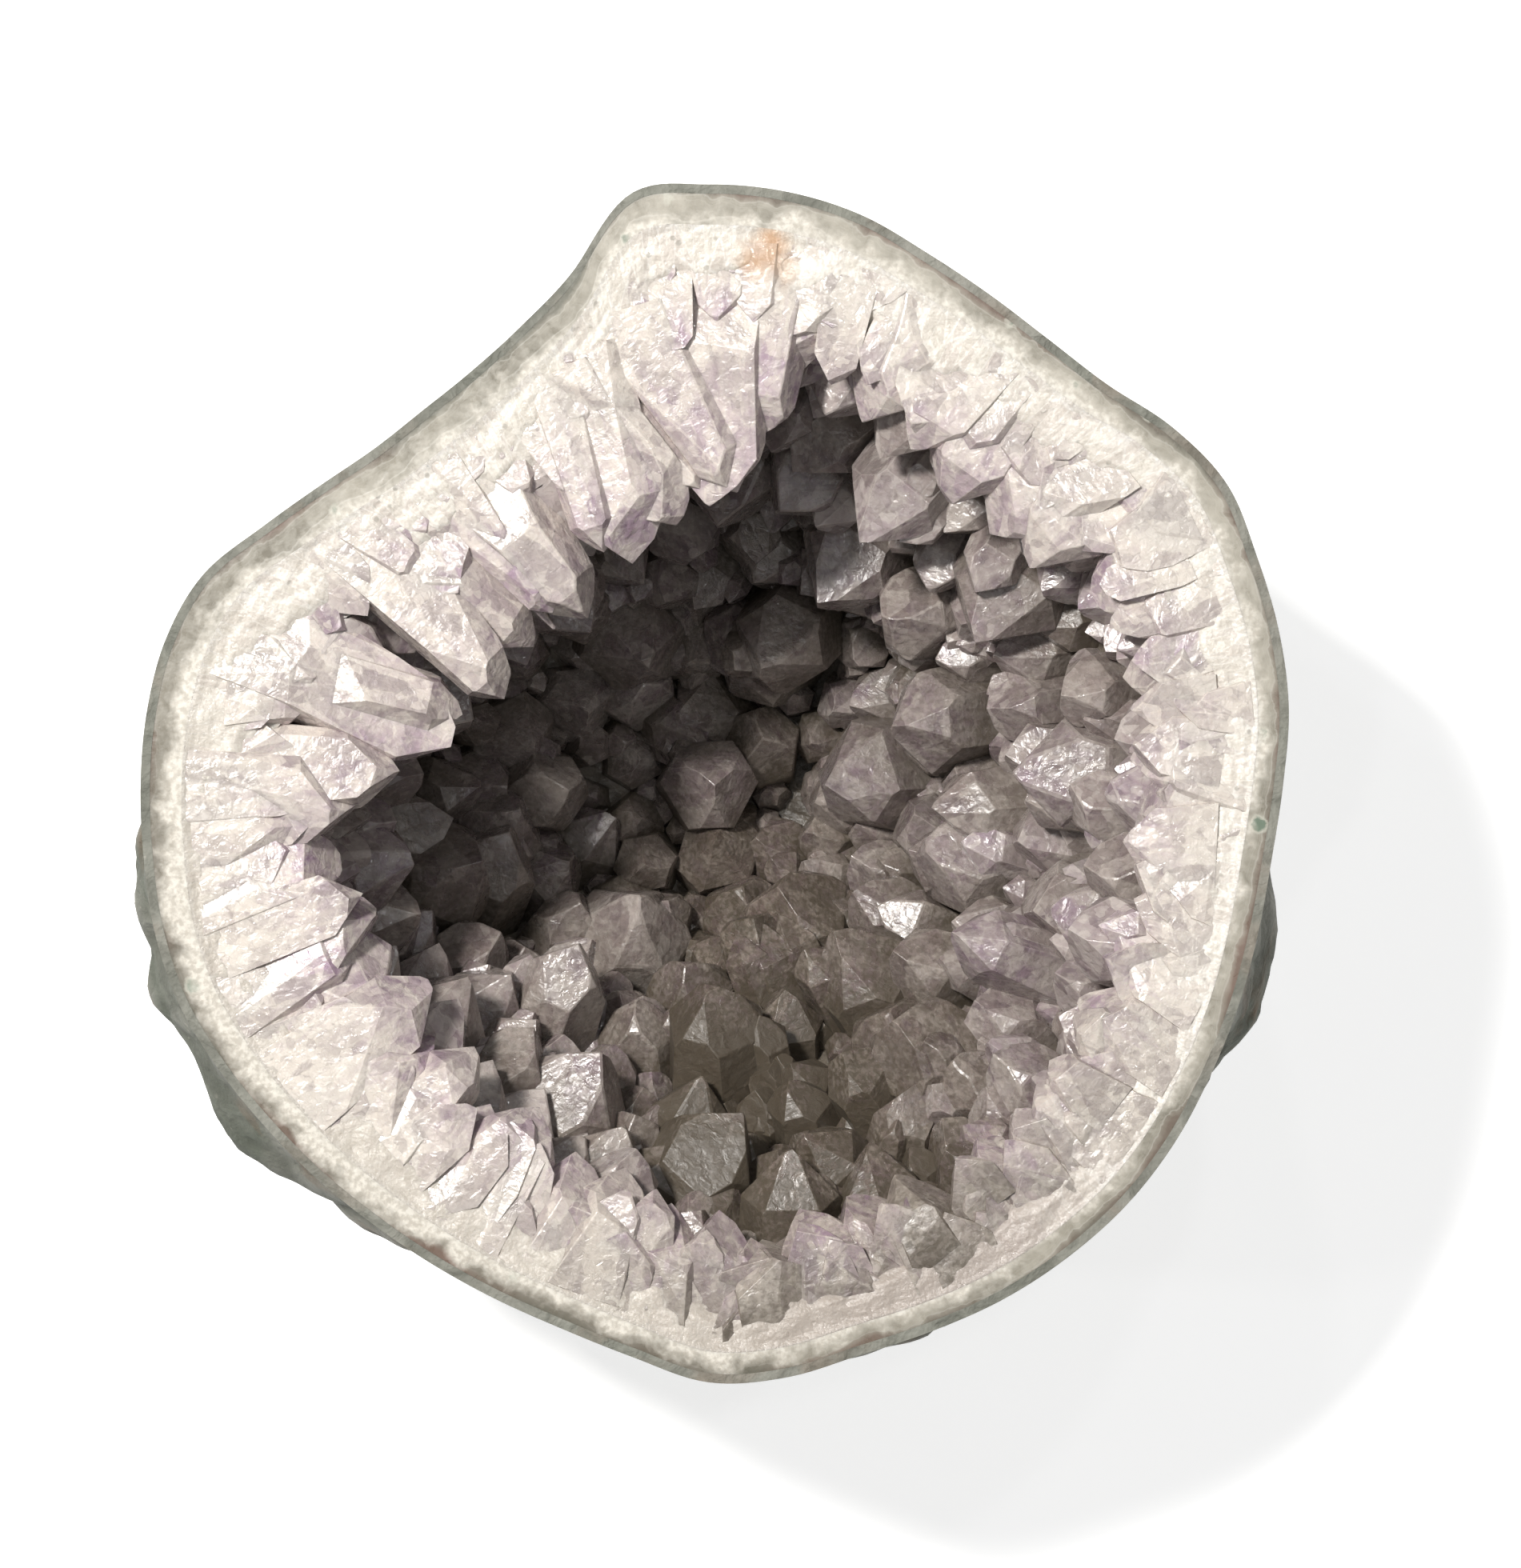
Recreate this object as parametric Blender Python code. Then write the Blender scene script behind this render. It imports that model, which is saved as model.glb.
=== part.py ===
"""Geode half: a hollow agate nodule sawn in two, lying on its back with the sawn face up.

The nodule is built whole, layer inside layer, and then sawn, as the real one was: a thin green-grey
skin, a band of agate, a wall of white quartz, and the quartz crystals that grew from that wall into
the hollow. The origin is under the middle of the stone, +Z is up, and the sawn face is level.
"""

import math
import random
from dataclasses import dataclass

import bmesh
import bpy
import numpy as np
from mathutils import Matrix, Vector
from mathutils.bvhtree import BVHTree

MM = 0.001

# The stone
HEIGHT = 78.0 * MM  # from the flat it lies on to the sawn face
ROUND_DEPTH = 82.5 * MM  # how far below the sawn face it would reach without that flat
PROFILE_POWER = 2.3  # 2 would be an ellipse, more is boxier
ROUND_RADIUS = 63.0 * MM  # the underside loses the outline's corners and comes nearer to a circle
ROUNDING = 0.8  # how far it gets from the outline to that circle
CENTRE = np.array([0.0, 0.0, HEIGHT])  # every layer is measured outwards from this point
SEGMENTS = 48
RINGS = 23  # an odd number keeps every ring off the sawn face

# The layers, from the outside in
GAP = 0.3 * MM  # between touching pieces
SKIN_THICKNESS = 0.9 * MM
AGATE_THICKNESS = 2.7 * MM
AGATE_EXTRA = 0.8 * MM  # the band is this much thicker at the upper left, and thinner opposite
WALL_THICKNESS = 9.0 * MM  # from the outside of the stone to the roots of the crystals, at the rim
WALL_EXTRA = 2.5 * MM
WALL_FLOOR = 16.0 * MM  # the same, under the hollow
WALL_SLOPE = 13.0 * MM  # added halfway down the lower right, where the hollow is shallower
THICK_SIDE = math.radians(140)
SHALLOW_SIDE = math.radians(-35)

# The crystals
PYRAMID_ANGLE = math.radians(38.2)  # between a quartz crystal's end faces and its axis
TAPER = 0.03  # a crystal's foot is this much wider than its radius, and its far end narrower
BODY_SHARE = 0.55  # of a crystal's length, from its root: where neighbours measure from
ROOT_CLEARANCE = 0.4 * MM  # of a crystal from the wall, along a line from the centre
MINOR_FACE = 1.6 * MM  # how much further out every second end face lies
END_JITTER = 0.8 * MM
LEAN_TO_CENTRE = 0.35  # 0 grows square to the wall, 1 grows to the middle of the hollow
WELDED = 0.03 * MM  # corners closer than this become one
RIM_DEPTH = math.radians(7)
RIM_DEPTH_JITTER = math.radians(1.5)
RIM_RADIUS = (8.6 * MM, 10.0 * MM)
RIM_LENGTH_JITTER = 1.0 * MM
SHORTEST = 9.0 * MM
RIM_AZIMUTHS = [79, 66, 51, 38, 26, 14, 3, -8, -19, -30, -41, -53, -65, -78, -91, -104, -118, -131,
                -144, -159, -178, 161, 144, 127, 109, 93]
INNER_RINGS = [(29, 13), (49, 10), (69, 6), (90, 1)]  # degrees below the sawn face, crystals
INNER_RADIUS = (10.5 * MM, 12.5 * MM)
INNER_LENGTH = (13.0 * MM, 17.0 * MM)
INNER_JITTER = (math.radians(3.5), math.radians(2.5))  # of azimuth, of angle below the face

# The sawn outline of the stone, and the line that the crystals' tips reach to at the rim, in mm
OUTLINE_MM = [(-9, 66.3), (1, 67.5), (15, 65), (27, 58.3), (43.5, 46), (58, 34.3), (61.5, 26), (65, 11),
              (63.5, -6), (57.5, -30), (49, -45), (36.5, -56), (18, -64), (1, -67.5), (-11, -63.5),
              (-31, -54), (-50, -38), (-60, -23), (-63.5, -6), (-62.5, 11), (-58.5, 21.5), (-48.5, 30.2),
              (-37.8, 37.6), (-30.5, 43.4), (-23.5, 49.2), (-18.5, 54.2), (-14.5, 58.6)]
MOUTH_MM = [(10, 50), (20, 38), (32, 29), (46, 21), (51, 10), (52, -5), (49, -18), (37, -38), (22, -53),
            (6, -52), (-12, -43), (-25, -33), (-34, -22), (-41, -4), (-31, 6), (-21, 13), (-10, 27), (1, 36)]

# Where the stone bulges past its sawn outline: azimuth, spread (degrees), share of its radius
BULGES = [(205, 32, 0.030), (-12, 38, 0.028)]
BULGE_ALL_ROUND = 0.022


# --- the shape of the stone -------------------------------------------------------------------

def closed_curve_radius(points_mm, azimuth):
    """The distance from the axis to a smooth closed curve through the points, at each azimuth."""
    x, y = np.array(points_mm).T * MM
    order = np.argsort(np.arctan2(y, x))
    angle, radius = np.arctan2(y, x)[order], np.hypot(x, y)[order]
    turn = 2 * math.pi
    angle = np.concatenate([angle[-2:] - turn, angle, angle[:2] + turn])
    radius = np.concatenate([radius[-2:], radius, radius[:2]])
    slope = np.gradient(radius, angle)
    left = np.clip(np.searchsorted(angle, azimuth) - 1, 0, len(angle) - 2)
    width = angle[left + 1] - angle[left]
    t = (azimuth - angle[left]) / width
    return ((1 + 2 * t) * (1 - t) ** 2 * radius[left] + t * (1 - t) ** 2 * width * slope[left]
            + t * t * (3 - 2 * t) * radius[left + 1] - t * t * (1 - t) * width * slope[left + 1])


def angles_of(directions):
    """Each direction's azimuth, and its angle above or below the sawn face, always positive."""
    x, y, z = directions.T
    return np.arctan2(y, x), np.arctan2(np.abs(z), np.hypot(x, y))


def stone_radius(directions):
    """The rounded outside of the stone: a boxy ellipsoid on the outline, with bulges and lumps."""
    azimuth, down = angles_of(directions)
    outline = closed_curve_radius(OUTLINE_MM, azimuth)
    outline += (ROUND_RADIUS - outline) * ROUNDING * np.sin(down) ** 2
    across = np.cos(down) / outline
    below = np.sin(down) / ROUND_DEPTH
    radius = (across ** PROFILE_POWER + below ** PROFILE_POWER) ** (-1 / PROFILE_POWER)
    bulge = np.full_like(radius, BULGE_ALL_ROUND)
    for middle, spread, share in BULGES:
        off = (azimuth - math.radians(middle) + math.pi) % (2 * math.pi) - math.pi
        bulge += share * np.exp(-(off / math.radians(spread)) ** 2)
    x, y, z = directions.T
    lumps = 0.010 * np.sin(5 * x + 1.3) * np.sin(4 * y + 0.4) + 0.008 * np.sin(7 * y + 5 * z)
    return radius * (1 + bulge * np.sin(2 * down) ** 0.8 + lumps * np.sin(down) * np.sin(2 * down))


def layer_radius(directions, depth):
    """A surface this deep in the stone, as a distance from the centre, flattened underneath."""
    down = angles_of(directions)[1]
    flat = (HEIGHT - depth) / np.maximum(np.sin(down), 1e-6)
    return np.minimum(stone_radius(directions) - depth, flat)


def agate_depth(directions):
    """How deep in the stone the agate gives way to white quartz."""
    thicker = AGATE_EXTRA * np.cos(angles_of(directions)[0] - THICK_SIDE)
    return SKIN_THICKNESS + GAP + AGATE_THICKNESS + thicker * np.cos(angles_of(directions)[1])


def hollow_radius(directions):
    """The hollow that the crystals line: deepest at the upper left, shallower at the lower right."""
    azimuth, down = angles_of(directions)
    rim = WALL_THICKNESS + WALL_EXTRA * np.cos(azimuth - THICK_SIDE)
    slope = WALL_SLOPE * (0.5 + 0.5 * np.cos(azimuth - SHALLOW_SIDE)) * np.sin(2 * down) ** 2
    wall = rim * np.cos(down) ** 2 + WALL_FLOOR * np.sin(down) ** 2 + slope
    return stone_radius(directions) - wall


# --- scene, materials and objects ----------------------------------------------------------------

def clear_scene():
    for obj in list(bpy.data.objects):
        bpy.data.objects.remove(obj, do_unlink=True)


def new_collection(name):
    collection = bpy.data.collections.new(name)
    bpy.context.scene.collection.children.link(collection)
    return collection


def new_material(name, colour, roughness):
    material = bpy.data.materials.new(name)
    material.use_nodes = True
    shader = material.node_tree.nodes["Principled BSDF"]
    shader.inputs["Base Color"].default_value = (*colour, 1.0)
    shader.inputs["Roughness"].default_value = roughness
    shader.inputs["Metallic"].default_value = 0.0
    return material


def object_from(bm, name, collection):
    """A new object from a bmesh, which is freed."""
    mesh = bpy.data.meshes.new(name)
    bm.to_mesh(mesh)
    bm.free()
    obj = bpy.data.objects.new(name, mesh)
    collection.objects.link(obj)
    return obj


def nodule(name, radius_of, collection):
    """A sphere primitive pushed out to the given radius in each direction: one whole, unsawn layer."""
    bm = bmesh.new()
    bmesh.ops.create_uvsphere(bm, u_segments=SEGMENTS, v_segments=RINGS, radius=1.0)
    bmesh.ops.triangulate(bm, faces=bm.faces[:], quad_method="FIXED")  # the same way in every layer
    directions = np.array([v.co.normalized() for v in bm.verts], dtype=float)
    places = CENTRE + directions * radius_of(directions)[:, None]
    for vert, place in zip(bm.verts, places, strict=True):
        vert.co = Vector(np.round(place, 7))
    return object_from(bm, name, collection)


def as_cutter(obj):
    obj.hide_render = True
    obj.display_type = "WIRE"
    return obj


def saw_block(collection):
    """Everything above the sawn face, as a block to take away."""
    side = 0.2
    bm = bmesh.new()
    bmesh.ops.create_cube(bm, size=side, matrix=Matrix.Translation((0, 0, HEIGHT + side / 2)))
    return as_cutter(object_from(bm, "saw_block", collection))


def take_away(obj, cutter):
    modifier = obj.modifiers.new(f"less_{cutter.name}", "BOOLEAN")
    modifier.operation = "DIFFERENCE"
    modifier.solver = "EXACT"
    modifier.object = cutter


def layer(name, outside, inside, material, parts, cutters, saw):
    """One layer: a whole nodule, hollowed by the next one in, and sawn in two."""
    obj = nodule(name, outside, parts)
    obj.data.materials.append(material)
    obj.data.shade_smooth()
    obj.data.set_sharp_from_angle(angle=math.radians(40))
    take_away(obj, as_cutter(nodule(f"inside_of_{name}", inside, cutters)))
    take_away(obj, saw)
    return obj


# --- crystals ------------------------------------------------------------------------------------

@dataclass
class Site:
    """Where a crystal is rooted, which way it grows, and how large it would be with no neighbours."""

    root: Vector
    wall: Vector  # square to the wall, into the hollow
    axis: Vector
    radius: float
    length: float
    twist: float

    def body(self):
        return self.root + self.axis * self.length * BODY_SHARE

    def tip(self):
        return self.root + self.axis * self.length


def direction_at(azimuth, down):
    level = math.cos(down)
    return np.array([level * math.cos(azimuth), level * math.sin(azimuth), -math.sin(down)])


def hollow_point(direction):
    return CENTRE + direction * hollow_radius(direction[None, :])[0]


def wall_normal(direction):
    """Square to the wall of the hollow, from the slopes of its surface either way."""
    side = np.cross(direction, (0, 0, 1)) if abs(direction[2]) < 0.99 else np.array([1.0, 0, 0])
    side /= np.linalg.norm(side)
    other = np.cross(direction, side)
    step = 0.12
    tangents = []
    for way in (side, other):
        ahead = direction + way * step
        behind = direction - way * step
        ahead, behind = ahead / np.linalg.norm(ahead), behind / np.linalg.norm(behind)
        tangents.append(hollow_point(ahead) - hollow_point(behind))
    normal = np.cross(tangents[0], tangents[1])
    normal /= np.linalg.norm(normal)
    return -normal if normal @ direction > 0 else normal


def crystal_site(azimuth, down, radius, length, rng):
    """A crystal rooted in the wall, growing partly square to it and partly to the middle."""
    direction = direction_at(azimuth, down)
    normal = wall_normal(direction)
    axis = Vector(normal * (1 - LEAN_TO_CENTRE) - direction * LEAN_TO_CENTRE).normalized()
    return Site(Vector(hollow_point(direction)), Vector(normal), axis, radius, length,
                rng.uniform(0, math.pi / 3))


def crystal_sites():
    """A ring of crystals that the saw went through, then rings down the wall to the floor."""
    rng = random.Random(7)
    sites = []
    for degrees in RIM_AZIMUTHS:
        azimuth = math.radians(degrees)
        down = RIM_DEPTH + rng.uniform(-1, 1) * RIM_DEPTH_JITTER
        root = hollow_radius(direction_at(azimuth, down)[None, :])[0] * math.cos(down)
        mouth = closed_curve_radius(MOUTH_MM, np.array([azimuth]))[0]
        length = max(root - mouth + rng.uniform(-1, 1) * RIM_LENGTH_JITTER, SHORTEST)
        sites.append(crystal_site(azimuth, down, rng.uniform(*RIM_RADIUS), length, rng))
    for ring, (degrees, count) in enumerate(INNER_RINGS):
        for k in range(count):
            azimuth = 2 * math.pi * (k + ring / 2) / count + rng.uniform(-1, 1) * INNER_JITTER[0]
            down = min(math.radians(degrees) + rng.uniform(-1, 1) * INNER_JITTER[1], math.pi / 2)
            radius, length = rng.uniform(*INNER_RADIUS), rng.uniform(*INNER_LENGTH)
            sites.append(crystal_site(azimuth, down, radius, length, rng))
    return sites


def keep_behind(bm, point, normal):
    """Cuts a closed convex mesh on a plane, drops what is in front of it, and closes the cut."""
    everything = bm.verts[:] + bm.edges[:] + bm.faces[:]
    bmesh.ops.bisect_plane(bm, geom=everything, plane_co=point, plane_no=normal, clear_outer=True, dist=1e-7)
    rim = [edge for edge in bm.edges if edge.is_boundary]
    if rim:
        bmesh.ops.contextual_create(bm, geom=rim)


def end_faces(bm, site, rng):
    """Six end faces, every second one a little further out, as quartz has."""
    along = site.axis
    across = along.orthogonal().normalized()
    for k in range(6):
        outward = across.copy()
        outward.rotate(Matrix.Rotation(site.twist + math.pi * (k / 3 + 1 / 6), 3, along))
        normal = outward * math.cos(PYRAMID_ANGLE) + along * math.sin(PYRAMID_ANGLE)
        extra = MINOR_FACE * (k % 2) + rng.uniform(0, 1) * END_JITTER
        keep_behind(bm, site.tip() + normal * extra, normal)


def clearance(bm, wall_tree):
    """How far the mesh stays inside the wall, at its corners, along its edges and on its faces."""
    points = [v.co for v in bm.verts] + [f.calc_center_median() for f in bm.faces]
    for edge in bm.edges:
        points += [edge.verts[0].co.lerp(edge.verts[1].co, t) for t in (0.25, 0.5, 0.75)]
    centre = Vector(CENTRE)
    return min(wall_tree.ray_cast(centre, p - centre)[3] - (p - centre).length for p in points)


def root_face(bm, site, wall_tree):
    """The face that sits on the wall, moved in until the whole crystal is clear of the wall."""
    inwards = ROOT_CLEARANCE
    for _ in range(16):
        keep_behind(bm, site.root + site.wall * inwards, -site.wall)
        short = ROOT_CLEARANCE - clearance(bm, wall_tree)
        if short <= 0:
            return
        inwards += short + 0.02 * MM


def crystal_mesh(site, others, wall_tree, rng):
    """A six-sided prism with a pointed end, cut off by the wall, by the saw and by its neighbours."""
    bm = bmesh.new()
    across = site.axis.orthogonal().normalized()
    frame = Matrix((across, site.axis.cross(across), site.axis)).transposed().to_4x4()
    place = Matrix.Translation(site.root) @ frame @ Matrix.Rotation(site.twist, 4, "Z")
    wide, narrow = site.radius * (1 + TAPER), site.radius * (1 - TAPER)
    whole = 2 * (site.length + site.radius)  # from below the root to above the tip
    bmesh.ops.create_cone(bm, cap_ends=True, segments=6, radius1=wide, radius2=narrow, depth=whole,
                          matrix=place)
    end_faces(bm, site, rng)
    for other in others:
        between = other.body() - site.body()
        if between.length > site.radius + other.radius + site.length + other.length:
            continue
        share = 0.5 + (site.radius ** 2 - other.radius ** 2) / (2 * between.length ** 2)
        half_gap = between.normalized() * GAP / 2
        keep_behind(bm, site.body() + between * share - half_gap, between.normalized())
    keep_behind(bm, Vector(CENTRE), Vector((0, 0, 1)))
    root_face(bm, site, wall_tree)
    bmesh.ops.remove_doubles(bm, verts=bm.verts[:], dist=WELDED)
    bmesh.ops.dissolve_degenerate(bm, edges=bm.edges[:], dist=WELDED)
    bmesh.ops.recalc_face_normals(bm, faces=bm.faces[:])
    return bm


def add_crystals(materials, collection, group, hollow):
    """Every crystal as an object of its own, clear of the hollow's wall and of the others."""
    rng = random.Random(23)
    mesh = hollow.data
    wall_tree = BVHTree.FromPolygons([v.co for v in mesh.vertices], [p.vertices for p in mesh.polygons])
    sites = crystal_sites()
    for k, site in enumerate(sites):
        others = sites[:k] + sites[k + 1:]
        obj = object_from(crystal_mesh(site, others, wall_tree, rng), f"crystal_{k + 1:02d}", collection)
        obj.data.materials.append(materials[k % len(materials)])
        obj.parent = group


# --- the geode -----------------------------------------------------------------------------------

def build():
    clear_scene()
    parts = new_collection("geode_half")
    cutters = new_collection("cutters")
    group = bpy.data.objects.new("geode_half_root", None)
    parts.objects.link(group)
    saw = saw_block(cutters)

    skin = new_material("skin_green_grey", (0.20, 0.21, 0.18), 0.75)
    agate = new_material("agate_grey", (0.47, 0.44, 0.37), 0.30)
    quartz = new_material("quartz_white", (0.83, 0.79, 0.72), 0.35)
    pale = new_material("crystal_pale", (0.72, 0.66, 0.66), 0.12)
    violet = new_material("crystal_violet", (0.60, 0.50, 0.58), 0.12)
    dusty = new_material("crystal_dusty", (0.46, 0.41, 0.37), 0.22)

    layers = [
        layer("skin", lambda d: layer_radius(d, 0.0), lambda d: layer_radius(d, SKIN_THICKNESS),
              skin, parts, cutters, saw),
        layer("agate_band", lambda d: layer_radius(d, SKIN_THICKNESS + GAP),
              lambda d: layer_radius(d, agate_depth(d)), agate, parts, cutters, saw),
        layer("quartz_wall", lambda d: layer_radius(d, agate_depth(d) + GAP), hollow_radius,
              quartz, parts, cutters, saw),
    ]
    for obj in layers:
        obj.parent = group
    add_crystals([pale, violet, pale, dusty], parts, group, cutters.objects["inside_of_quartz_wall"])


build()
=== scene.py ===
# %% [markdown]
# # A geode half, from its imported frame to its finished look
#
# The real thing is a hollow nodule of agate and quartz, sawn in two and lying on its round back.
# The frame gives plain solids: a skin, an agate band, a quartz wall and the large crystals. This
# lesson measures those solids, then grows finer ones in their places: a knobbly skin, a polished
# rim with its bands, and a hollow crowded with pointed crystals of every size.

# %% Load the frame
import collections
import itertools
import math

import bmesh
import bpy
import numpy as np
from numpy.linalg import norm
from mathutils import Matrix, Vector
from mathutils.bvhtree import BVHTree


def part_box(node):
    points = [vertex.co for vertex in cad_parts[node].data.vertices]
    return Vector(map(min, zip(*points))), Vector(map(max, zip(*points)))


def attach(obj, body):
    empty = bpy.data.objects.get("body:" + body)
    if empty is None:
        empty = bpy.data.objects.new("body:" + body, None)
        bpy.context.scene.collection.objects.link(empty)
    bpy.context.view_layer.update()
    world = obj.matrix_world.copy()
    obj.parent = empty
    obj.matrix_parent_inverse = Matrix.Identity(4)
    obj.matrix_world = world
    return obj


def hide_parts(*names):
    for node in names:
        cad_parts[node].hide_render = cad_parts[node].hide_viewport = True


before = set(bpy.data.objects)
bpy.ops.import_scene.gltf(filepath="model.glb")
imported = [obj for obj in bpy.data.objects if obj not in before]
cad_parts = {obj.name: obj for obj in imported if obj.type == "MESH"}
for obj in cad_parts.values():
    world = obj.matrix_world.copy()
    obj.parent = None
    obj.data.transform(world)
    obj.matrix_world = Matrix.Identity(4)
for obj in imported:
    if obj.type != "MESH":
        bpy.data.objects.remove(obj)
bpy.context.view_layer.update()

MM = 0.001
TURN = 2 * math.pi
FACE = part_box("skin")[1][2]  # the height of the sawn face
CENTRE = np.array([0.0, 0.0, FACE])  # every layer is measured outwards from here
print("sawn face at", round(FACE / MM, 1), "mm; nodes:", len(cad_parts))

# %% [markdown]
# ## Reading the stone's shape off the frame
#
# From the middle of the sawn face every direction meets each layer once. So a layer is a table of
# distances, by azimuth and angle below the face. Reading it from the solids, not typing it in,
# means that the fine surface can't drift away from them. Their corners lie on a regular grid, so
# a smooth bicubic curve through the table gives the round stone that the flat facets stand for.

# %% Distances on a grid of angles
COLUMNS = 48  # of the solids' grid, round the stone
ROWS = 12  # down to the lowest point
COLUMN_STEP = TURN / COLUMNS
ROW_STEP = math.pi / (2 * ROWS - 1)
FIRST_ROW = ROWS * ROW_STEP - math.pi / 2  # the first row below the sawn face
JUST_BELOW = 0.002  # radians: close enough to the face to stand for it
NUDGE = 1e-5  # keeps a ray off the solids' edges


def node_corners(name):
    """The corners of a CAD node as an array of places."""
    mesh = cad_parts[name].data
    flat = np.zeros(len(mesh.vertices) * 3, np.float32)
    mesh.vertices.foreach_get("co", flat)
    return flat.reshape(-1, 3).astype(float)


def distance_table(name, outside):
    """The distance from the centre to a layer, by row and column of the solids' grid.

    A ray goes out from the centre for the inside, or in from far away for the outside. Row 0
    lies as far above the sawn face as row 1 lies below it, on the line through the two.
    """
    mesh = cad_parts[name].data
    tree = BVHTree.FromPolygons([v.co for v in mesh.vertices], [p.vertices for p in mesh.polygons])
    table = np.zeros((ROWS + 1, COLUMNS))
    start = Vector(CENTRE)
    for row in range(ROWS + 1):
        down = FIRST_ROW + (row - 1) * ROW_STEP if row else JUST_BELOW
        for column in range(COLUMNS):
            angle = column * COLUMN_STEP + NUDGE
            level = math.cos(down)
            way = Vector((level * math.cos(angle), level * math.sin(angle), -math.sin(down)))
            hit = tree.ray_cast(start + way, -way)[3] if outside else tree.ray_cast(start, way)[3]
            table[row, column] = 1.0 - hit if outside else hit
    table[0] = 2 * table[0] - table[1]
    return table


def cubic_weights(t):
    """The four weights of a cubic that passes through its two middle points, at t between them."""
    return (-0.5 * t + t * t - 0.5 * t ** 3, 1 - 2.5 * t * t + 1.5 * t ** 3,
            0.5 * t + 2 * t * t - 1.5 * t ** 3, -0.5 * t * t + 0.5 * t ** 3)


def distance(table, azimuth, down):
    """The smooth distance to a layer: a weighted sum of the 4 x 4 nearest entries of its table."""
    column = azimuth / COLUMN_STEP
    row = np.clip((down + ROW_STEP - FIRST_ROW) / ROW_STEP, 0, ROWS)
    c, r = np.floor(column).astype(int), np.minimum(np.floor(row).astype(int), ROWS - 1)
    total = np.zeros_like(column)
    for i, across in enumerate(cubic_weights(column - c)):
        for j, along in enumerate(cubic_weights(row - r)):
            total += across * along * table[np.clip(r + j - 1, 0, ROWS), (c + i - 1) % COLUMNS]
    return total


STONE = distance_table("skin", outside=True)
UNDER_SKIN = (distance_table("skin", outside=False) + distance_table("agate_band", outside=True)) / 2
UNDER_AGATE = (distance_table("agate_band", outside=False) + distance_table("quartz_wall", outside=True)) / 2
HOLLOW = distance_table("quartz_wall", outside=False)
for label, table in (("stone", STONE), ("skin", UNDER_SKIN), ("agate", UNDER_AGATE), ("hollow", HOLLOW)):
    print(label, "reaches", (table[1:].min() / MM).round(1), "to", (table[1:].max() / MM).round(1), "mm")

# %% [markdown]
# ## Natural roughness, as arrays
#
# Stone is rough at every size. Two repeatable random fields are enough: smooth noise, which is
# random heights on a lattice, blended between its corners, and cells, with one random seed point
# in each box of a lattice, and the distance to the nearest. Both take whole arrays of places.

# %% Random fields
def lattice_random(cells, seed):
    """A repeatable number from 0 to 1 for each row of three whole numbers, by mixing their bits."""
    mixed = (cells @ np.array([374761393, 668265263, 1442695041]) + seed * 97531) & 0xFFFFFFFF
    mixed = ((mixed ^ (mixed >> 13)) * 1274126177) & 0xFFFFFFFF
    mixed = ((mixed ^ (mixed >> 15)) * 1103515245) & 0xFFFFFFFF
    return ((mixed ^ (mixed >> 16)) & 0xFFFFFF) / 0xFFFFFF


def smooth_noise(places, size, seed):
    """Heights from -1 to 1 that vary over about `size`: lattice values with an S-shaped blend."""
    spot = places / size
    corner = np.floor(spot).astype(np.int64)
    t = spot - corner
    t = t * t * (3 - 2 * t)
    total = np.zeros(len(places))
    for step in itertools.product((0, 1), repeat=3):
        share = np.prod(np.where(step, t, 1 - t), axis=1)
        total += share * lattice_random(corner + np.array(step), seed)
    return 2 * total - 1


def rough(places, size, seed, octaves=4):
    """Smooth noise, plus half as much at half the size, and so on."""
    return sum(smooth_noise(places, size / 2 ** k, seed + k) / 2 ** k for k in range(octaves))


def cells(places, size, seed):
    """For each place: how far it is from the nearest seed point, in cell sizes, and that cell's number."""
    spot = places / size
    home = np.floor(spot).astype(np.int64)
    nearest = np.full(len(places), 9.0)
    number = np.zeros(len(places))
    for step in itertools.product((-1, 0, 1), repeat=3):
        cell = home + np.array(step)
        jitter = np.stack([lattice_random(cell, seed + k) for k in range(3)], axis=1)
        gap = norm(cell + jitter - spot, axis=1)
        closer = gap < nearest
        nearest[closer] = gap[closer]
        number[closer] = lattice_random(cell, seed + 3)[closer]
    return nearest, number


def step_between(low, high, value):
    """0 below low, 1 above high, and an S-shaped rise between."""
    t = np.clip((value - low) / (high - low), 0, 1)
    return t * t * (3 - 2 * t)


# %% [markdown]
# ## Turning rows of places into a closed piece
#
# The three layers are all of one kind: a profile, carried once round the stone. It starts at the
# lowest point outside, climbs to the rim, crosses the sawn face and goes back down inside. A grid
# of faces joins each row to the next, and each end closes in a fan. Every layer uses this helper.

# %% From rows to a mesh
TUCK = 2.4 * MM  # how far the inner layers are drawn in below the rim
TUCK_ANGLE = 0.12  # radians below the face by which they are
CREASE = math.radians(50)  # sharper edges than this are shaded as edges


def tucked(table, azimuth, down):
    """A layer's distance, drawn in below the rim, to leave room for the skin's hollows over it."""
    return distance(table, azimuth, down) - TUCK * step_between(0.0, TUCK_ANGLE, down)


def new_object(name, data):
    """An object for a mesh, a lamp or a camera, linked to the scene."""
    made = bpy.data.objects.new(name, data)
    bpy.context.scene.collection.objects.link(made)
    return made


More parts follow.
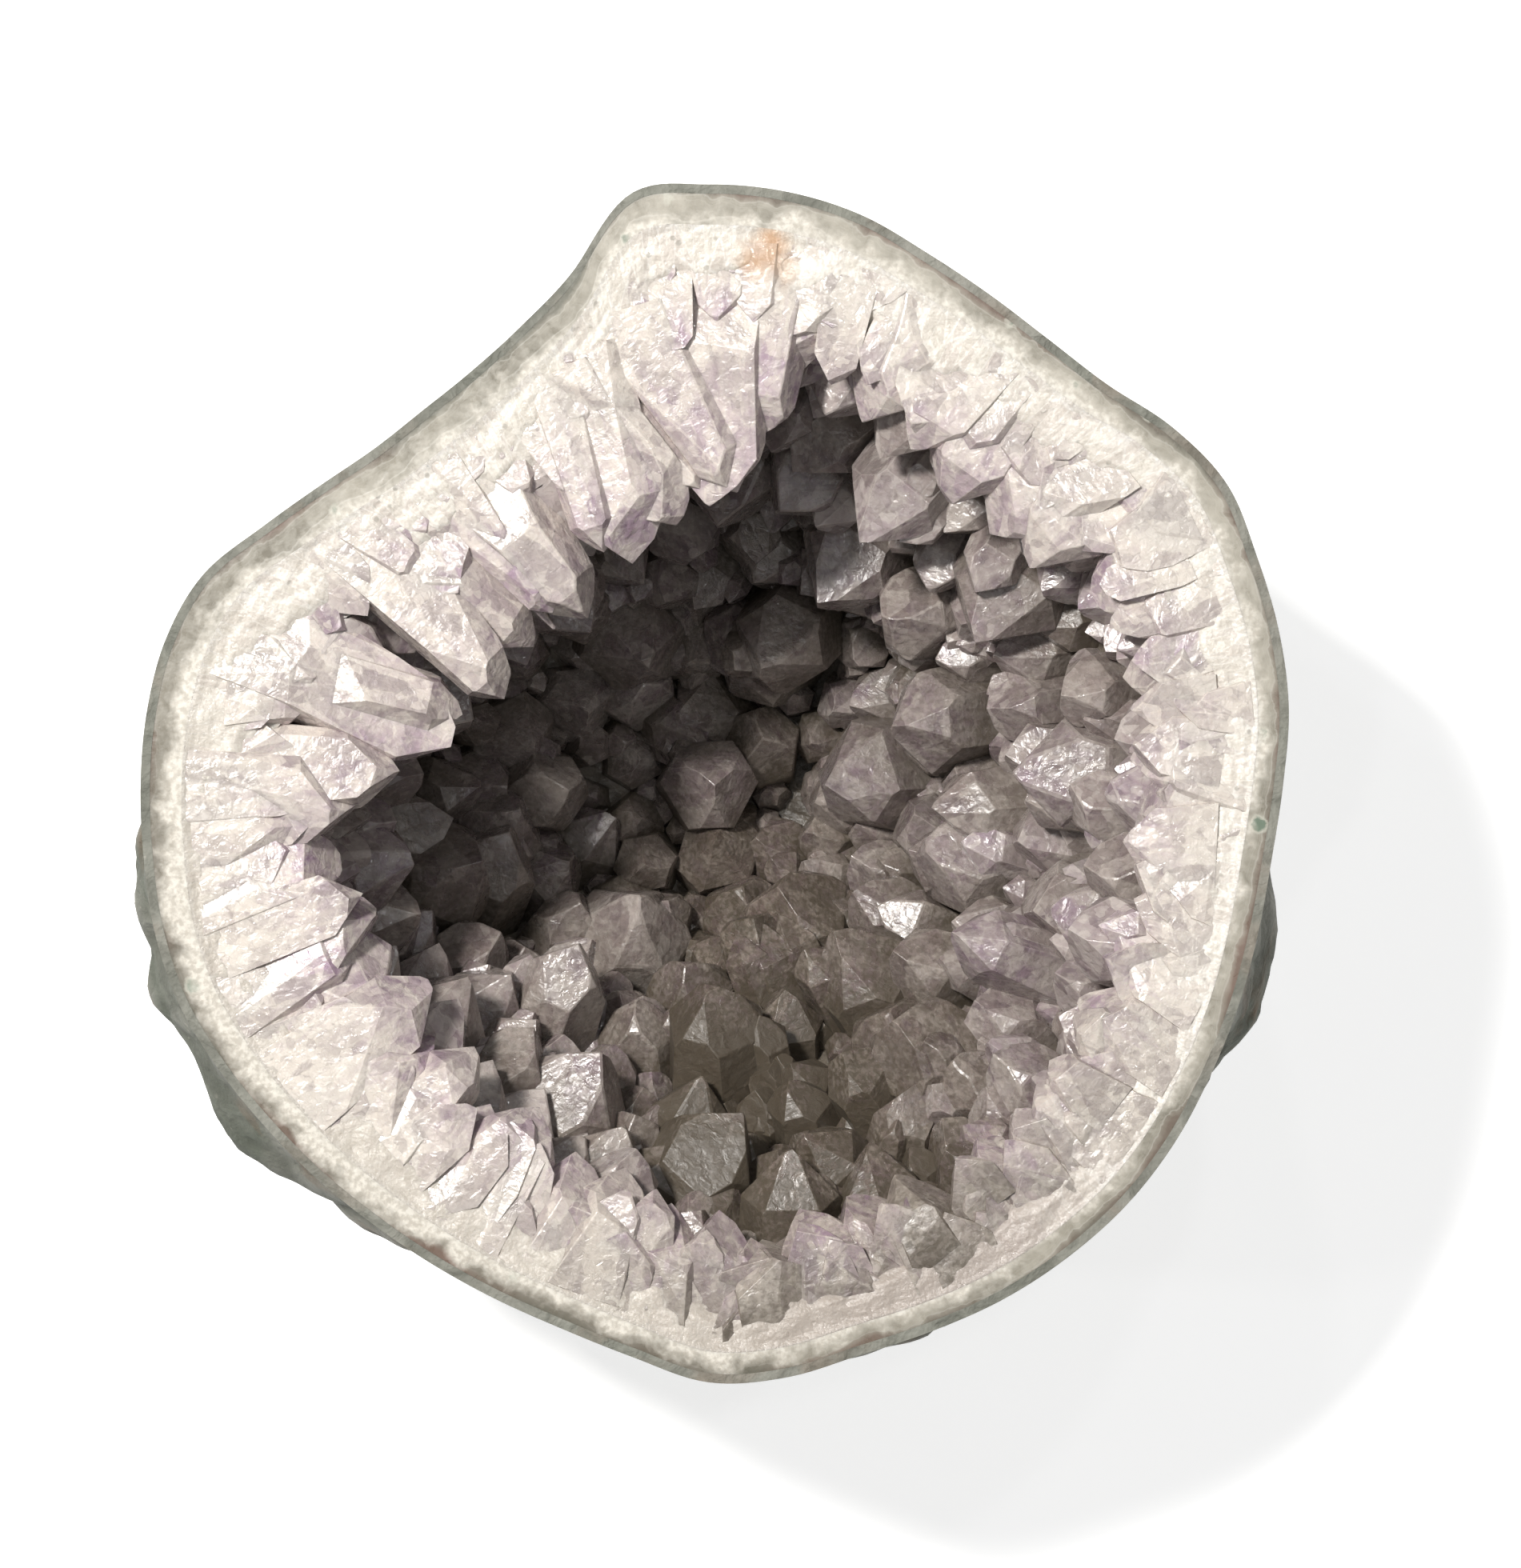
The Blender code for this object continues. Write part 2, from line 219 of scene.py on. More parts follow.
def wrapped_piece(name, rows, first_pole, last_pole):
    """A closed mesh from rows of places that each run round the stone, with a point at both ends."""
    count, around = rows.shape[:2]
    corner = np.arange(count * around).reshape(count, around)
    here, beside = corner, np.roll(corner, -1, axis=1)
    quads = np.stack([here[:-1], beside[:-1], beside[1:], here[1:]], axis=-1).reshape(-1, 4)
    start, end = count * around, count * around + 1
    first_fan = np.stack([np.full(around, start), beside[0], here[0]], axis=-1)
    last_fan = np.stack([np.full(around, end), here[-1], beside[-1]], axis=-1)
    mesh = bpy.data.meshes.new(name)
    places = np.concatenate([rows.reshape(-1, 3), [first_pole, last_pole]])
    mesh.from_pydata(places.tolist(), [], quads.tolist() + first_fan.tolist() + last_fan.tolist())
    mesh.shade_smooth()
    mesh.set_sharp_from_angle(angle=CREASE)
    piece = new_object(name, mesh)
    print(name, "has", len(mesh.polygons), "faces")
    return piece


def write_vectors(piece, name, values):
    """Stores one vector for each corner of a mesh, for its material to read."""
    attribute = piece.data.attributes.new(name, "FLOAT_VECTOR", "POINT")
    attribute.data.foreach_set("vector", np.ascontiguousarray(values, dtype=np.float32).ravel())


def place_at(azimuth, down, reach):
    """Places from azimuth, angle below the sawn face, and distance from the centre."""
    flat = np.cos(down) * reach
    return np.stack([flat * np.cos(azimuth), flat * np.sin(azimuth), FACE - np.sin(down) * reach], axis=-1)


def grid_of(rows, around):
    """A grid of azimuths, and of the given values, which each hold for a whole row of it."""
    return np.meshgrid(np.arange(around) * TURN / around, rows)


def one_place(table, azimuth, down, inward=0.0):
    """A single place on a layer, or so far in from it."""
    spot = np.array([azimuth]), np.array([down])
    return place_at(*spot, distance(table, *spot) - inward)[0]


# %% [markdown]
# ## Materials
#
# Each finish is one shader with its colour, gloss and relief worked out by nodes, so it looks the
# same from everywhere and can be baked. A short helper adds a node and links its inputs, so that
# each material below reads as a list of what it is made of.

# %% A small kit for node materials
class Finish:
    """A material under construction: one Principled shader, and the nodes that feed it."""

    def __init__(self, name):
        self.material = bpy.data.materials.new(name)
        self.material.use_nodes = True
        self.tree = self.material.node_tree
        self.shader = self.tree.nodes["Principled BSDF"]

    def node(self, kind, inputs=None, **settings):
        made = self.tree.nodes.new("ShaderNode" + kind)
        for key, value in settings.items():
            setattr(made, key, value)
        for key, value in (inputs or {}).items():
            self.plug(made.inputs[key], value)
        return made

    def plug(self, socket, value):
        if isinstance(value, bpy.types.NodeSocket):
            self.tree.links.new(value, socket)
        else:
            socket.default_value = value

    def place(self):
        return self.node("TexCoord").outputs["Object"]

    def stored(self, name):
        return self.node("Attribute", attribute_name=name).outputs["Vector"]

    def split(self, vector):
        return self.node("SeparateXYZ", {"Vector": vector}).outputs

    def stretch(self, vector, scale):
        return self.node("Mapping", {"Vector": vector, "Scale": scale}).outputs["Vector"]

    def noise(self, vector, scale, detail=4.0, distortion=0.0):
        return self.node("TexNoise", {"Vector": vector, "Scale": scale, "Detail": detail,
                                      "Distortion": distortion}).outputs["Fac"]

    def grains(self, vector, scale, feature="F1", output="Distance"):
        return self.node("TexVoronoi", {"Vector": vector, "Scale": scale}, feature=feature).outputs[output]

    def shaken(self, vector, scale, amount):
        """The vector, moved a little every way by noise, so that straight patterns turn ragged."""
        noise = self.node("TexNoise", {"Vector": vector, "Scale": scale, "Detail": 3.0})
        shift = self.node("VectorMath", {0: noise.outputs["Color"], 1: (amount,) * 3}, operation="MULTIPLY")
        return self.node("VectorMath", {0: shift.outputs[0], 1: vector}, operation="ADD").outputs[0]

    def near(self, place, spot, inner, outer):
        """1 nearer than `inner` to a spot, falling to 0 at `outer`."""
        away = self.node("VectorMath", {0: place, 1: spot}, operation="DISTANCE").outputs["Value"]
        return self.ramp(away, outer, inner)

    def math(self, operation, first, second, clamp=False):
        return self.node("Math", {0: first, 1: second}, operation=operation, use_clamp=clamp).outputs[0]

    def times(self, first, second):
        return self.math("MULTIPLY", first, second)

    def ramp(self, value, low, high, start=0.0, end=1.0):
        return self.node("MapRange", {"Value": value, "From Min": low, "From Max": high,
                                      "To Min": start, "To Max": end}).outputs["Result"]

    def mix(self, share, first, second, blend="MIX"):
        made = self.node("Mix", data_type="RGBA", blend_type=blend)
        self.plug(made.inputs[0], share)
        for socket, value in ((made.inputs[6], first), (made.inputs[7], second)):
            self.plug(socket, value if isinstance(value, bpy.types.NodeSocket) else (*value, 1.0))
        return made.outputs[2]

    def cover(self, colour, *layers):
        """A colour covered with others in turn, each told by its share, its strength and itself."""
        for share, strength, over in layers:
            colour = self.mix(self.times(share, strength), colour, over)
        return colour

    def relief(self, height, depth, strength=1.0, under=None):
        """A relief in the surface's normal, on its own or on top of another."""
        inputs = {"Height": height, "Distance": depth, "Strength": strength}
        if under:
            inputs["Normal"] = under
        return self.node("Bump", inputs).outputs["Normal"]

    def finish(self, **sockets):
        for key, value in sockets.items():
            name = key.replace("_", " ").title().replace("Ior", "IOR")
            self.plug(self.shader.inputs[name], value)
        return self.material


def scaled(colour, factor):
    """A lighter or darker version of a colour."""
    return tuple(min(v * factor, 0.96) for v in colour)


# %% [markdown]
# ## The skin
#
# Outside, the nodule keeps the print of the basalt bubble that it filled: a dull green-grey clay
# skin with low knobs where blobs of agate pushed outwards, pits, brown iron stains and paler
# rubbed tops, partly wear and partly a painted highlight; painted shade darkens its crevices and
# pits. A texture could displace it, but then its outline would stay smooth in an export, so each
# row of the profile is moved in or out by the fields above, except at the sawn edge.

# %% Build the skin
AROUND = 400
OUTER_ROWS, INNER_ROWS = 168, 12
KNOB = 1.45 * MM  # the height of the tallest
DRAWN_IN = 1.55 * MM  # the whole skin, to make up for its knobs
DEEPEST = 2.3 * MM  # hollows end here, just outside the inner layers
# humps: azimuth and spread in degrees; depth, spread and height in mm
STANDS_OUT = [(217, 9, 10, 6, 6.0), (202, 6, 12, 8, 3.4), (190, 8, 12, 8, 3.0), (-20, 11, 12, 8, 4.6),
              (-72, 12, 12, 8, 2.4), (234, 9, 12, 8, 2.2)]


def bulges(azimuth, depth):
    """Where the side stands out past the sawn outline: rounded humps, as products of two bell curves."""
    total = np.zeros_like(azimuth)
    for middle, spread, down, tall, height in STANDS_OUT:
        off = (azimuth - math.radians(middle) + math.pi) % TURN - math.pi
        away = (depth / MM - down) / tall
        total += height * MM * np.exp(-(off / math.radians(spread)) ** 2 - away ** 2)
    return total


def knobs(places):
    """How far the skin stands out: broad swells, round knobs and small pits, in metres."""
    swell = 0.55 * MM * rough(places, 24 * MM, 11, 3)
    near, number = cells(places + 1.6 * MM * rough(places, 9 * MM, 5, 2)[:, None], 6.5 * MM, 31)
    knob = (1 - np.clip(near / 0.8, 0, 1) ** 2) * (0.25 + 0.75 * number) * KNOB
    pit_near, pit_number = cells(places, 3.1 * MM, 77)
    pit = np.where(pit_number > 0.72, 1 - step_between(0.12, 0.42, pit_near), 0) * 0.55 * MM
    return swell + knob - pit + 0.10 * MM * rough(places, 1.6 * MM, 3, 2)


def build_skin():
    """Rows up the outside and down the inside. The knobs fade out at the sawn edge and at the foot."""
    climb = np.linspace(math.pi / 2, 0, OUTER_ROWS + 1)[1:]
    back_down = np.linspace(0, math.pi / 2, INNER_ROWS)[:-1]
    azimuth, down = grid_of(np.concatenate([climb, back_down]), AROUND)
    outer = np.arange(len(down)) < OUTER_ROWS
    reach = np.where(outer[:, None], distance(STONE, azimuth, down), tucked(UNDER_SKIN, azimuth, down))
    places = place_at(azimuth, down, reach)
    height = knobs(places[outer].reshape(-1, 3)).reshape(OUTER_ROWS, AROUND) - DRAWN_IN
    depth = FACE - places[outer][..., 2]
    foot = step_between(0.2 * MM, 5 * MM, places[outer][..., 2])
    height = np.maximum(height * step_between(0.0, 6 * MM, depth) * foot, -DEEPEST)
    bulge = bulges(azimuth[outer], depth) * step_between(0.0, 5 * MM, depth) * foot
    outward = (places[outer] - CENTRE) / reach[outer][..., None]
    places[outer] += outward * (height + bulge)[..., None]
    places[..., 2] = np.maximum(places[..., 2], 0.0)
    low, high = [0, 0, places[0, :, 2].mean()], [0, 0, FACE - UNDER_SKIN[ROWS, 0] + TUCK]
    piece = wrapped_piece("geode_skin", places, low, high)
    told = np.zeros((len(piece.data.vertices), 3))
    told[:OUTER_ROWS * AROUND, 0] = height.ravel() / MM
    write_vectors(piece, "relief", told)
    return piece


def skin_finish():
    """Green-grey, with stains, tops paler from wear and a painted highlight, painted shade in crevices and
    pits, pale specks and a crust.
    """
    f = Finish("skin_green_grey")
    place = f.place()
    height = f.split(f.stored("relief"))["X"]
    patches = f.ramp(f.noise(place, 42.0, 5.0, 0.6), 0.42, 0.62)
    # paler, glossier knob tops: partly wear, partly a painted highlight on the relief
    rubbed_and_lit_tops = f.ramp(height, -1.0, 0.2)
    crust = f.noise(place, 300.0, 8.0, 0.5)
    colour = f.cover(
        f.mix(patches, (0.125, 0.138, 0.110), (0.230, 0.226, 0.195)),
        (f.ramp(f.noise(f.stretch(place, (1, 1, 1.6)), 75.0, 6.0, 1.2), 0.53, 0.66), 0.70,
         (0.150, 0.090, 0.050)),
        (f.ramp(f.noise(place, 160.0, 5.0), 0.38, 0.66), 0.35, (0.25, 0.255, 0.225)),
        (rubbed_and_lit_tops, 0.50, (0.34, 0.33, 0.29)),
        # painted shade: darker in the skin's hollows and pits, the deeper the darker
        (f.ramp(height, -1.25, -1.9), 0.55, (0.060, 0.064, 0.050)),
        (f.ramp(height, -1.5, -2.1), 0.75, (0.030, 0.034, 0.026)),
        (f.ramp(f.noise(place, 900.0, 3.0), 0.66, 0.74), 0.40, (0.42, 0.40, 0.35)),
        (f.ramp(crust, 0.56, 0.40), 0.45, (0.080, 0.084, 0.066)))
    fine = f.relief(f.noise(place, 1500.0, 4.0), 0.16 * MM)
    return f.finish(base_color=colour, roughness=f.ramp(rubbed_and_lit_tops, 0, 1, 0.88, 0.55),
                    normal=f.relief(crust, 0.9 * MM, under=fine), specular_ior_level=0.35)


skin = build_skin()
skin.data.materials.append(skin_finish())
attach(skin, "root")
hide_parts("skin")

# %% [markdown]
# ## The agate band
#
# Just inside the skin the first silica to settle made chalcedony: a grey, half-clear ring on the
# sawn face, with lines as fine as hairs that follow the stone's outline. The mesh stores how deep
# and how far round each corner lies, and the material draws the banding from that. Being
# polished, it is nearly flat, so only the saw's slight unevenness is in the mesh.

# %% Build the agate band
BAND_AROUND = 480
MIDWAY = 60 * MM  # from the middle: where distances round the stone are told


def side_rows(table, rows):
    """Rows up a layer's side, from near the lowest point to just below the sawn face."""
    azimuth, down = grid_of(np.linspace(math.pi / 2, 0, rows + 2)[1:-1], BAND_AROUND)
    return place_at(azimuth, down, tucked(table, azimuth, down))


def ring_rows(outside, inner_reach, rows):
    """Rows across the sawn face, each place's share of the way, and how far in from `outside` it lies."""
    azimuth, share = grid_of(np.linspace(0, 1, rows), BAND_AROUND)
    start, end = distance(outside, azimuth, 0 * azimuth), inner_reach(azimuth, 0 * azimuth)
    return place_at(azimuth, 0 * azimuth, start + (end - start) * share), share, (start - end) * share


def told_across(places):
    """For the material: two distances that go round the stone, and the distance in from its outline."""
    azimuth = np.arctan2(places[..., 1], places[..., 0])
    inward = distance(STONE, azimuth, 0 * azimuth) - np.hypot(places[..., 0], places[..., 1])
    return np.stack([np.cos(azimuth) * MIDWAY, np.sin(azimuth) * MIDWAY, inward], axis=-1)


def band_piece(name, rows, outer_reach, inner_reach):
    """The closed piece with the distances told at its corners. Its ends lie straight below the centre."""
    ends = [[0, 0, FACE - outer_reach], [0, 0, FACE - inner_reach]]
    piece = wrapped_piece(name, rows, *ends)
    write_vectors(piece, "across", told_across(np.concatenate([rows.reshape(-1, 3), ends])))
    return piece


def build_agate():
    """A ring that is flat on the face but for the saw's unevenness, on two smooth sides."""
    ring, _, _ = ring_rows(UNDER_SKIN, lambda azimuth, down: distance(UNDER_AGATE, azimuth, down), 12)
    ring[..., 2] -= 0.03 * MM * (1 + rough(ring.reshape(-1, 3), 2.5 * MM, 41, 2).reshape(ring.shape[:2]))
    rows = np.concatenate([side_rows(UNDER_SKIN, 20), ring, side_rows(UNDER_AGATE, 20)[::-1]])
    return band_piece("agate_ring", rows, UNDER_SKIN[ROWS, 0] - TUCK, UNDER_AGATE[ROWS, 0] - TUCK)


def agate_finish():
    """Cloudy grey with fine lines, a dark outer edge, green spots, and white where the quartz begins."""
    f = Finish("agate_grey")
    place = f.place()
    spot = f.split(place)
    waver = f.ramp(f.noise(place, 130.0, 4.0, 0.6), 0.3, 0.7, -0.9 * MM, 0.9 * MM)
    shifted = f.math("ADD", f.split(f.stored("across"))["Z"], waver)
    lines = f.noise(f.node("CombineXYZ", {"Z": shifted}).outputs[0], 2300.0, 2.0)
    cloudy = f.ramp(f.noise(place, 60.0, 5.0, 1.0), 0.36, 0.66)
    mottle = f.ramp(f.noise(place, 700.0, 5.0, 0.6), 0.34, 0.68)
    lower_left = f.ramp(f.math("ADD", spot["X"], spot["Y"]), -15 * MM, -75 * MM)
    upper_left = f.ramp(f.math("SUBTRACT", spot["Y"], spot["X"]), 45 * MM, 72 * MM)
    rusty = f.ramp(f.noise(place, 45.0, 3.0), 0.40, 0.62)
    round_spots = f.grains(f.shaken(f.stretch(place, (1, 1, 0.2)), 900.0, 1.2 * MM), 120.0)
    ragged = f.ramp(f.noise(place, 330.0, 5.0, 0.5), 0.3, 0.7, -1.0 * MM, 1.0 * MM)
    sooner = f.math("ADD", f.math("ADD", shifted, ragged), f.times(lower_left, 1.1 * MM))
    sooner = f.math("SUBTRACT", sooner, f.times(upper_left, 1.2 * MM))
    sugar = f.ramp(f.noise(place, 1500.0, 5.0), 0.40, 0.60)
    colour = f.cover(
        f.mix(cloudy, (0.23, 0.213, 0.172), (0.42, 0.392, 0.33)),
        (mottle, 0.35, (0.58, 0.55, 0.48)),
        (f.ramp(lines, 0.52, 0.70), 0.35, (0.80, 0.78, 0.72)),
        (f.ramp(lines, 0.44, 0.30), 0.35, (0.25, 0.23, 0.19)),
        (lower_left, 0.75, (0.15, 0.135, 0.105)),
        (f.ramp(shifted, 1.7 * MM, 0.8 * MM), 0.85, f.mix(rusty, (0.125, 0.125, 0.095), (0.17, 0.105, 0.08))),
        (f.ramp(round_spots, 0.15, 0.12), 0.50, (0.60, 0.60, 0.52)),
        (f.ramp(round_spots, 0.11, 0.08), 0.85, (0.11, 0.17, 0.12)),
        (f.ramp(sooner, 2.1 * MM, 3.9 * MM), 0.85, f.mix(sugar, (0.84, 0.80, 0.72), (0.60, 0.56, 0.49))))
    return f.finish(base_color=colour, roughness=f.ramp(mottle, 0, 1, 0.24, 0.44),
                    normal=f.relief(f.noise(place, 900.0, 4.0), 0.06 * MM), subsurface_weight=0.25,
                    subsurface_radius=(1.0, 0.9, 0.8), subsurface_scale=1.2 * MM)


agate = build_agate()
agate.data.materials.append(agate_finish())
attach(agate, "root")
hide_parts("agate_band")

# %% [markdown]
# ## The quartz wall
#
# Inside the agate, quartz grew in ever larger grains: first sugary and white, then in columns
# that point to the hollow, until single crystals stand free. Sawn, the wall shows as a white
# collar with a ragged inner edge. The crystals alone would leave gaps in it, so the wall itself
# is thickened near the face, with an edge of fingers, and the hollow below is rough with points.

# %% Build the quartz wall
COLLAR = 4.6 * MM  # how much wider the white is on the face
COLLAR_DEPTH = math.radians(13)
COLLAR_DROP = 1.8 * MM  # how far its inner edge sinks, under the crystals
CLEAR_SPOT = (27 * MM, -54 * MM, FACE + 6 * MM)  # round here the quartz is clear and looks darker
STAIN = (10 * MM, 63 * MM, FACE + 2 * MM)  # of iron, once the material has moved it a little


def collar_reach(azimuth, down):
    """The distance to the hollow, less the collar near the face, whose edge goes in and out."""
    points = place_at(azimuth, 0 * azimuth, 46 * MM + 0 * azimuth).reshape(-1, 3)
    near, number = cells(points, 4.4 * MM, 58)
    fingers = (0.55 + 0.75 * number * (1 - near)).reshape(azimuth.shape)
    fade = 1 - step_between(0.0, COLLAR_DEPTH, down)
    return distance(HOLLOW, azimuth, down) - COLLAR * fingers * fade


def build_quartz():
    """The chipped white ring, which sinks towards the crystals, and the wall of points below it."""
    ring, share, inward = ring_rows(UNDER_AGATE, collar_reach, 40)
    flat = ring.reshape(-1, 3)
    near, number = cells(flat, 1.3 * MM, 19)
    chips = 0.40 * MM * number * (1 - near) + 0.16 * MM * (1 + rough(flat, 2.0 * MM, 8, 3))
    ragged = 1.2 * MM * rough(flat, 3 * MM, 71, 3).reshape(share.shape)
    drop = 0.3 * MM * step_between(1.5 * MM, 5.0 * MM, inward + ragged)
    drop += COLLAR_DROP * step_between(0.45, 1.0, share + ragged / (12 * MM))
    ring[..., 2] -= chips.reshape(share.shape) * step_between(0.0, 0.12, share) + drop
    azimuth, down = grid_of(math.pi / 2 * np.linspace(0, 1, 122)[1:-1] ** 1.1, BAND_AROUND)
    inner = place_at(azimuth, down, collar_reach(azimuth, down))
    flat = inner.reshape(-1, 3)
    near, number = cells(flat, 2.6 * MM, 65)
    points = (1 - near) * (0.5 + number) * MM + 0.25 * MM * rough(flat, 1.2 * MM, 21, 2)
    inwards = (CENTRE - inner) / norm(CENTRE - inner, axis=-1, keepdims=True)
    inner += inwards * (points.reshape(down.shape) * step_between(0.0, 0.06, down))[..., None]
    inner[..., 2] = np.minimum(inner[..., 2], FACE - COLLAR_DROP - 0.45 * MM)
    rows = np.concatenate([side_rows(UNDER_AGATE, 18), ring, inner])
    return band_piece("white_quartz_wall", rows, UNDER_AGATE[ROWS, 0] - TUCK, HOLLOW[ROWS, 0])


def iron_stain(f, place):
    """Where iron has stained the quartz orange: one ragged spot in the rim at the top."""
    return f.near(f.shaken(place, 260.0, 6 * MM), STAIN, 1.0 * MM, 4.2 * MM)


def quartz_finish():
    """White, with grains, streaks and pits; darker where it is clear, and dark brown down in the hollow from
    earth and painted shade.
    """
    f = Finish("quartz_white")
    across, place = f.stored("across"), f.place()
    spot = f.split(place)
    columns = f.stretch(across, (1.0, 1.0, 0.30))
    grain_tone = f.split(f.grains(columns, 700.0, output="Color"))["X"]
    sugar = f.noise(place, 1500.0, 5.0)
    streaks = f.noise(f.stretch(across, (1.0, 1.0, 0.16)), 1300.0, 4.0, 0.4)
    blotch = f.ramp(f.noise(place, 190.0, 5.0, 0.8), 0.36, 0.64)
    pits = f.times(f.ramp(f.grains(place, 620.0), 0.24, 0.16), f.ramp(f.noise(place, 170.0, 3.0), 0.50, 0.58))
    earth_and_shade = f.ramp(f.noise(place, 120.0, 4.0), 0.35, 0.65)
    lower_left = f.ramp(f.math("ADD", spot["X"], spot["Y"]), -20 * MM, -70 * MM)
    colour = f.cover(
        f.mix(blotch, (0.68, 0.635, 0.565), (0.82, 0.78, 0.71)),
        (f.ramp(sugar, 0.42, 0.62), 0.55, (0.58, 0.535, 0.465)),
        (f.ramp(grain_tone, 0.3, 0.9), 0.50, (0.60, 0.535, 0.49)),
        (f.ramp(streaks, 0.52, 0.66), 0.50, (0.93, 0.89, 0.82)),
        (f.ramp(f.grains(columns, 700.0, "DISTANCE_TO_EDGE"), 0.06, 0.0), 0.50, (0.95, 0.92, 0.87)),
        (pits, 0.60, (0.34, 0.32, 0.28)),
        (iron_stain(f, place), 0.75, (0.60, 0.34, 0.17)),
        (f.near(f.shaken(place, 150.0, 12 * MM), CLEAR_SPOT, 12 * MM, 36 * MM), 0.85, (0.34, 0.285, 0.255)),
        (lower_left, 0.65, (0.50, 0.455, 0.395)),
        # earth and painted shade: dark brown below the face, near black 11 mm down, between the crystals
        (f.ramp(spot["Z"], FACE - 3 * MM, FACE - 11 * MM), 0.95,
         f.mix(earth_and_shade, (0.055, 0.045, 0.033), (0.20, 0.165, 0.125))))
    normal = f.relief(f.math("ADD", sugar, f.times(grain_tone, 0.9)), 0.22 * MM)
    return f.finish(base_color=colour, roughness=f.ramp(sugar, 0.3, 0.7, 0.22, 0.5), normal=normal,
                    subsurface_weight=0.30, subsurface_radius=(1.0, 0.95, 0.9), subsurface_scale=1.5 * MM)


quartz = build_quartz()
quartz.data.materials.append(quartz_finish())
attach(quartz, "root")
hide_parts("quartz_wall")

# %% [markdown]
# ## One crystal
#
# A quartz crystal is the space behind all its faces: six sides that taper a little, and six end
# faces that lean at a fixed angle, three of them larger. A six-sided cone would be too regular,
# so the faces come first, each a little out of place, and the corners follow: any three faces
# meet at a point, and those that no other face cuts off are the corners. The saw is one more face.

# %% Faces to corners, corners to a mesh
END_ANGLE = math.radians(38.2)  # between an end face and the crystal's long axis
AGATE_GAP = 0.12 * MM  # what every crystal keeps from the agate
AGATE_LEAN = 0.34  # how much the agate leans in, for each unit down
TRIPLES = {}  # every way to choose three faces out of n
Kind = collections.namedtuple("Kind", "saw tears chips edge")  # saw: how deep it cut, in mm
KINDS = {"rim": Kind((0.03, 0.16), 2, 2, 0.022), "column": Kind((0.10, 0.42), 2, 1, 0.020),
         "grain": Kind((0.35, 0.80), 2, 0, 0.0), "inner": Kind((0.05, 0.30), 0, 3, 0.035),
         "middling": Kind((0.05, 0.30), 0, 2, 0.035), "small": Kind((0.05, 0.30), 0, 0, 0.0),
         "twin": Kind((0.05, 0.30), 1, 1, 0.025)}  # edge: worn, as a part of the radius


def axis_of(site):
    """A crystal's direction, and its length from root to tip."""
    way = site.tip - site.root
    length = norm(way)
    return way / length, length


def across_axis(axis):
    """Two directions square to an axis and to each other."""
    side = np.cross(axis, (0.3, 0.5, 0.81))
    side /= norm(side)
    return side, np.cross(axis, side)


def faces_of(site, rng):
    """The outward directions and offsets of a crystal's faces: sides, ends, foot and saw."""
    root, tip, radius = site.root, site.tip, site.radius
    axis, _ = axis_of(site)
    side, other = across_axis(axis)
    angle = rng.uniform(0, TURN / 6) + np.arange(6) * TURN / 6
    outward = np.cos(angle)[:, None] * side + np.sin(angle)[:, None] * other
    taper = rng.uniform(0.02, 0.12)
    sides = outward * math.cos(taper) + axis * math.sin(taper)
    side_offset = sides @ root + radius * rng.uniform(0.84, 1.02, 6)
    ends = outward * math.cos(END_ANGLE) + axis * math.sin(END_ANGLE)
    later = rng.uniform(0.0, 0.06, 6) + np.tile([0.0, rng.uniform(0.04, 0.22)], 3)
    end_offset = ends @ tip + radius * later
    foot = -axis @ root + rng.uniform(2.0, 3.5) * MM
    saw = FACE - rng.uniform(*KINDS[site.kind].saw) * MM
    directions = np.vstack([sides, ends, -axis, (0, 0, 1)])
    return directions, np.concatenate([side_offset, end_offset, [foot, saw]]), axis


def corners_of(directions, offsets):
    """The corners: where three faces meet and no other cuts in, rounded so that doubles fall together."""
    count = len(offsets)
    if count not in TRIPLES:
        TRIPLES[count] = np.array(list(itertools.combinations(range(count), 3)))
    triple = TRIPLES[count]
    systems = directions[triple]
    usable = np.abs(np.linalg.det(systems)) > 1e-3
    points = np.linalg.solve(systems[usable], offsets[triple[usable]][..., None])[..., 0]
    points = points[((points @ directions.T - offsets) < 1e-7).all(axis=1)]
    return np.unique(np.round(points / (0.02 * MM)), axis=0) * 0.02 * MM


def with_face(directions, offsets, way, offset):
    """The same crystal with one more face."""
    return np.vstack([directions, way]), np.append(offsets, offset)


def under_agate(site, directions, offsets):
    """Two more faces that end a rim crystal's foot at the agate, which leans in as it goes down."""
    azimuth = math.atan2(site.root[1], site.root[0])
    half = 0.7 * site.radius / np.hypot(*site.root[:2])
    for side in (azimuth - half, azimuth + half):
        reach = distance(UNDER_AGATE, np.array([side]), np.zeros(1))[0] - AGATE_GAP
        level = np.array([math.cos(side), math.sin(side), 0])
        way = (level - (0, 0, AGATE_LEAN)) / math.hypot(1, AGATE_LEAN)
        directions, offsets = with_face(directions, offsets, way, way @ (CENTRE + level * reach))
    return directions, offsets


def broken_top(site, directions, offsets, axis, rng):
    """The saw tore the rim's crystals: each top is a few nearly level faces at slightly different tilts."""
    length = axis_of(site)[1]
    for _ in range(KINDS[site.kind].tears):
        way = np.array([0, 0, 1.0]) + 0.14 * rng.normal(size=3) * (1, 1, 0)
        way /= norm(way)
        spot = site.root + axis * length * rng.uniform(0.0, 1.0)
        spot[2] = FACE - rng.uniform(0.1, 0.9) * MM
        directions, offsets = with_face(directions, offsets, way, way @ spot)
    return directions, offsets


